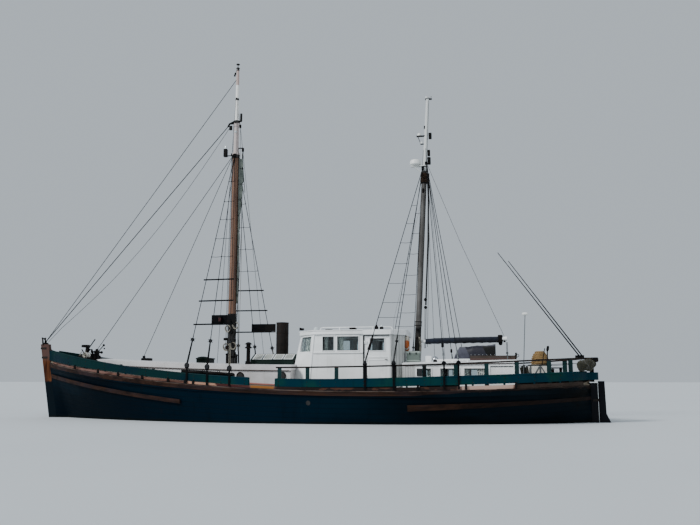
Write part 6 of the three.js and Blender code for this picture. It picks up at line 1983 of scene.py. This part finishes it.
def build_stern():
    pole = Bench()
    pole.bar((7.7, -1.42, 1.2), (7.84, -1.42, 3.6), 0.013, 10)
    pole.bar((7.7, -1.42, 1.2), (7.7, -1.42, 1.26), 0.05, 12)
    pole.coat = 1
    pole.turned((7.84, -1.42, 3.56), AERIAL_HEAD, UP, 24)
    pole.finish("aerial_pole", ["galvanised", "dome"], slot="white_paint")
    box, low, high = Bench(), Vector((7.92, -1.32, 1.36)), Vector((8.62, -0.66, 1.9))
    front = low.y - 0.008
    box.block(low, high, 0.012)
    box.coat = 1
    for x in (low.x + 0.04, 8.27, high.x - 0.04):
        box.board((x, front, low.z), (x, front, high.z), 0.05, 0.016, PORT, 0.003)
    for (x0, z0), (x1, z1) in (((7.98, 1.42), (8.24, 1.86)), ((8.3, 1.86), (8.56, 1.42))):
        box.board((x0, front, z0), (x1, front, z1), 0.035, 0.014, PORT, 0.003)
    box.board((low.x - 0.02, -0.99, 1.915), (high.x + 0.02, -0.99, 1.915), 0.7, 0.035, UP, 0.008)
    box.finish("stern_locker", ["canvas", "galvanised"])
    build_stern_coil()
    gear = Bench()
    gear.bar((8.49, -1.5, 1.35), (8.51, -1.5, 2.4), 0.02, 10)
    knob = [(0, 0), (0.03, 0), (0.045, 0.05), (0.04, 0.15), (0, 0.18)]
    gear.turned((8.51, -1.5, 2.37), knob, (0.2, 0, 1), 16)
    gear.bar((8.32, -1.5, 1.9), (8.43, -1.5, 2.46), 0.014, 8)
    for x in (8.68, 8.93):
        foot = sheer(x) + 0.06
        gear.bar((x, -1.25, foot), (x, -1.25, foot + 0.5), 0.045, 12)
        gear.ball((x, -1.25, foot + 0.5), 0.055, (1, 1, 0.6))
    for z in (1.82, 1.2):
        gear.bar((8.62, -1.25, z), (8.99, -1.25, z), 0.02, 8)
    gear.board((10.14, -0.26, 2.11), (10.14, 0.26, 2.11), 0.26, 0.16, UP, 0.03)
    for y in (-0.2, 0.2):
        gear.board((10.06, y, sheer(9.9) + 0.1), (10.06, y, 2.06), 0.09, 0.09, AFT, 0.01)
    gear.coat = 1
    gear.bar((8.8, -1.27, sheer(8.8) + 0.06), (8.8, -1.27, sheer(8.8) + 0.54), 0.035, 12)
    gear.finish("stern_gear", ["iron", "white"], slot="black_iron")
    bale = Bench()
    for i in range(5):
        at = Vector((7.66 + 0.05 * i, -1.36 + 0.03 * (i % 2), 1.32))
        tip = at + Vector((-0.02, 0, 0.52 + 0.04 * (i % 3)))
        bale.rope([at, at + Vector((0.02, 0.02, 0.3)), tip], 0.035, 8)
    bale.finish("brush_bundle", "net", slot="hood_cloth")
    build_net_roll()


def build_stern_coil():
    """A thick rope wound into a heap on the box, ring inside ring and layer on layer."""
    thick, layers, steps = 0.034, 13, 20
    spots, turns = [], []
    for layer in range(layers):
        outer = 0.29 * (1 - (layer / 13.5) ** 2) ** 0.5
        rings = [outer - 0.036 * i for i in range(3 if outer > 0.17 else 2)]
        for radius in rings[:: -1 if layer % 2 else 1]:
            turns.append((radius, 1.951 + layer * thick * 1.02))
    for i in range((len(turns) - 1) * steps + 1):
        k, part = divmod(i, steps)
        a, b = turns[k], turns[min(k + 1, len(turns) - 1)]
        share = part / steps
        ease_in = share * share * (3 - 2 * share)
        radius, z = a[0] + (b[0] - a[0]) * ease_in, a[1] + (b[1] - a[1]) * ease_in
        angle = math.tau * i / steps
        spots.append(Vector((8.29 + radius * math.cos(angle), -0.98 + radius * math.sin(angle), z)))
    rope = Bench()
    rope.rope(spots, thick / 2, 8)
    piece = rope.finish("stern_coil", "hemp", slot="rigging", sharp=80)


def build_net_roll():
    """A net rolled on the stern rail, with cords crossing over it both ways."""
    net = Bench()
    start, stop = Vector((9.58, -1.02, 1.88)), Vector((10.08, -0.22, 1.96))
    out = (stop - start).normalized().cross(UP).normalized()

    def place(u, v):
        a = math.tau * v
        bulge = 1 + 0.12 * math.sin(u * 13) + 0.1 * math.sin(a * 3 + u * 8)
        radius = 0.18 * bulge * (0.55 + 0.45 * math.sin(math.pi * ramp(u, 0, 1)) ** 0.4)
        return start.lerp(stop, u) + out * radius * math.cos(a) + UP * radius * math.sin(a)

    net.weave(28, 24, place, closed=True)
    roll = net.finish("net_roll", "net", slot="hood_cloth", sharp=80)
    cords = Bench()
    for turn in range(10):
        for way in (-1, 1):
            points = []
            for i in range(15):
                u = i / 14
                middle = start.lerp(stop, u)
                points.append(middle + (place(u, (turn / 10 + way * u * 0.6) % 1.0) - middle) * 1.05)
            cords.rope(points, 0.006, 4)
    cords.finish("net_cords", "net_rope", slot="rigging")


# Stage, light and camera
def build_stage():
    floor_finish = Finish("floor", gloss=0.2)
    cloud = floor_finish.noise(0.12, detail=2)
    pale = floor_finish.mix(cloud, tint("#c3c9cd"), tint("#cbd0d3"))
    floor_finish.done(pale, 0.75)
    bm = bmesh.new()
    bmesh.ops.create_grid(bm, x_segments=1, y_segments=1, size=400)
    mesh = bpy.data.meshes.new("floor")
    bm.to_mesh(mesh)
    bm.free()
    mesh.materials.append(floor_finish.material)
    floor = bpy.data.objects.new("floor", mesh)
    bpy.context.scene.collection.objects.link(floor)
    world = bpy.data.worlds.new("studio")
    bpy.context.scene.world = world
    world.use_nodes = True
    background = world.node_tree.nodes["Background"]
    background.inputs["Color"].default_value = tint("#c9d3dc")
    background.inputs["Strength"].default_value = 0.85
    for name, spot, strength, spread in (
        ("key", (-26, -24, 26), 3.0, 0.25),
        ("fill", (30, -30, 16), 0.5, 0.6),
    ):
        lamp = bpy.data.lights.new(name, "SUN")
        lamp.energy = strength
        lamp.angle = spread
        holder = bpy.data.objects.new(name, lamp)
        holder.rotation_mode = "QUATERNION"
        holder.rotation_quaternion = Vector(spot).to_track_quat("Z", "Y")
        bpy.context.scene.collection.objects.link(holder)


def place_camera():
    camera = bpy.data.cameras.new("camera")
    camera.sensor_width = 36
    camera.lens = 38.89
    camera.clip_end = 900
    holder = bpy.data.objects.new("camera", camera)
    holder.location = (6.834, -27.292, 1.441)
    holder.rotation_euler = (math.radians(98.8), 0, math.radians(10.82))
    bpy.context.scene.collection.objects.link(holder)
    bpy.context.scene.camera = holder


place_camera()
build_stage()
build_hull()
build_hull_irons()
build_bulwark_gear()
build_trunk()
build_skylight()
build_stacks()
build_wheelhouse()
build_roof_gear()
build_doors()
build_helm()
build_curtains()
build_after_cabin()
build_hood()
build_main_mast()
build_coils()
build_furled_sail()
build_shrouds()
build_stays()
build_mizzen()
build_boom()
build_foredeck()
build_stern()
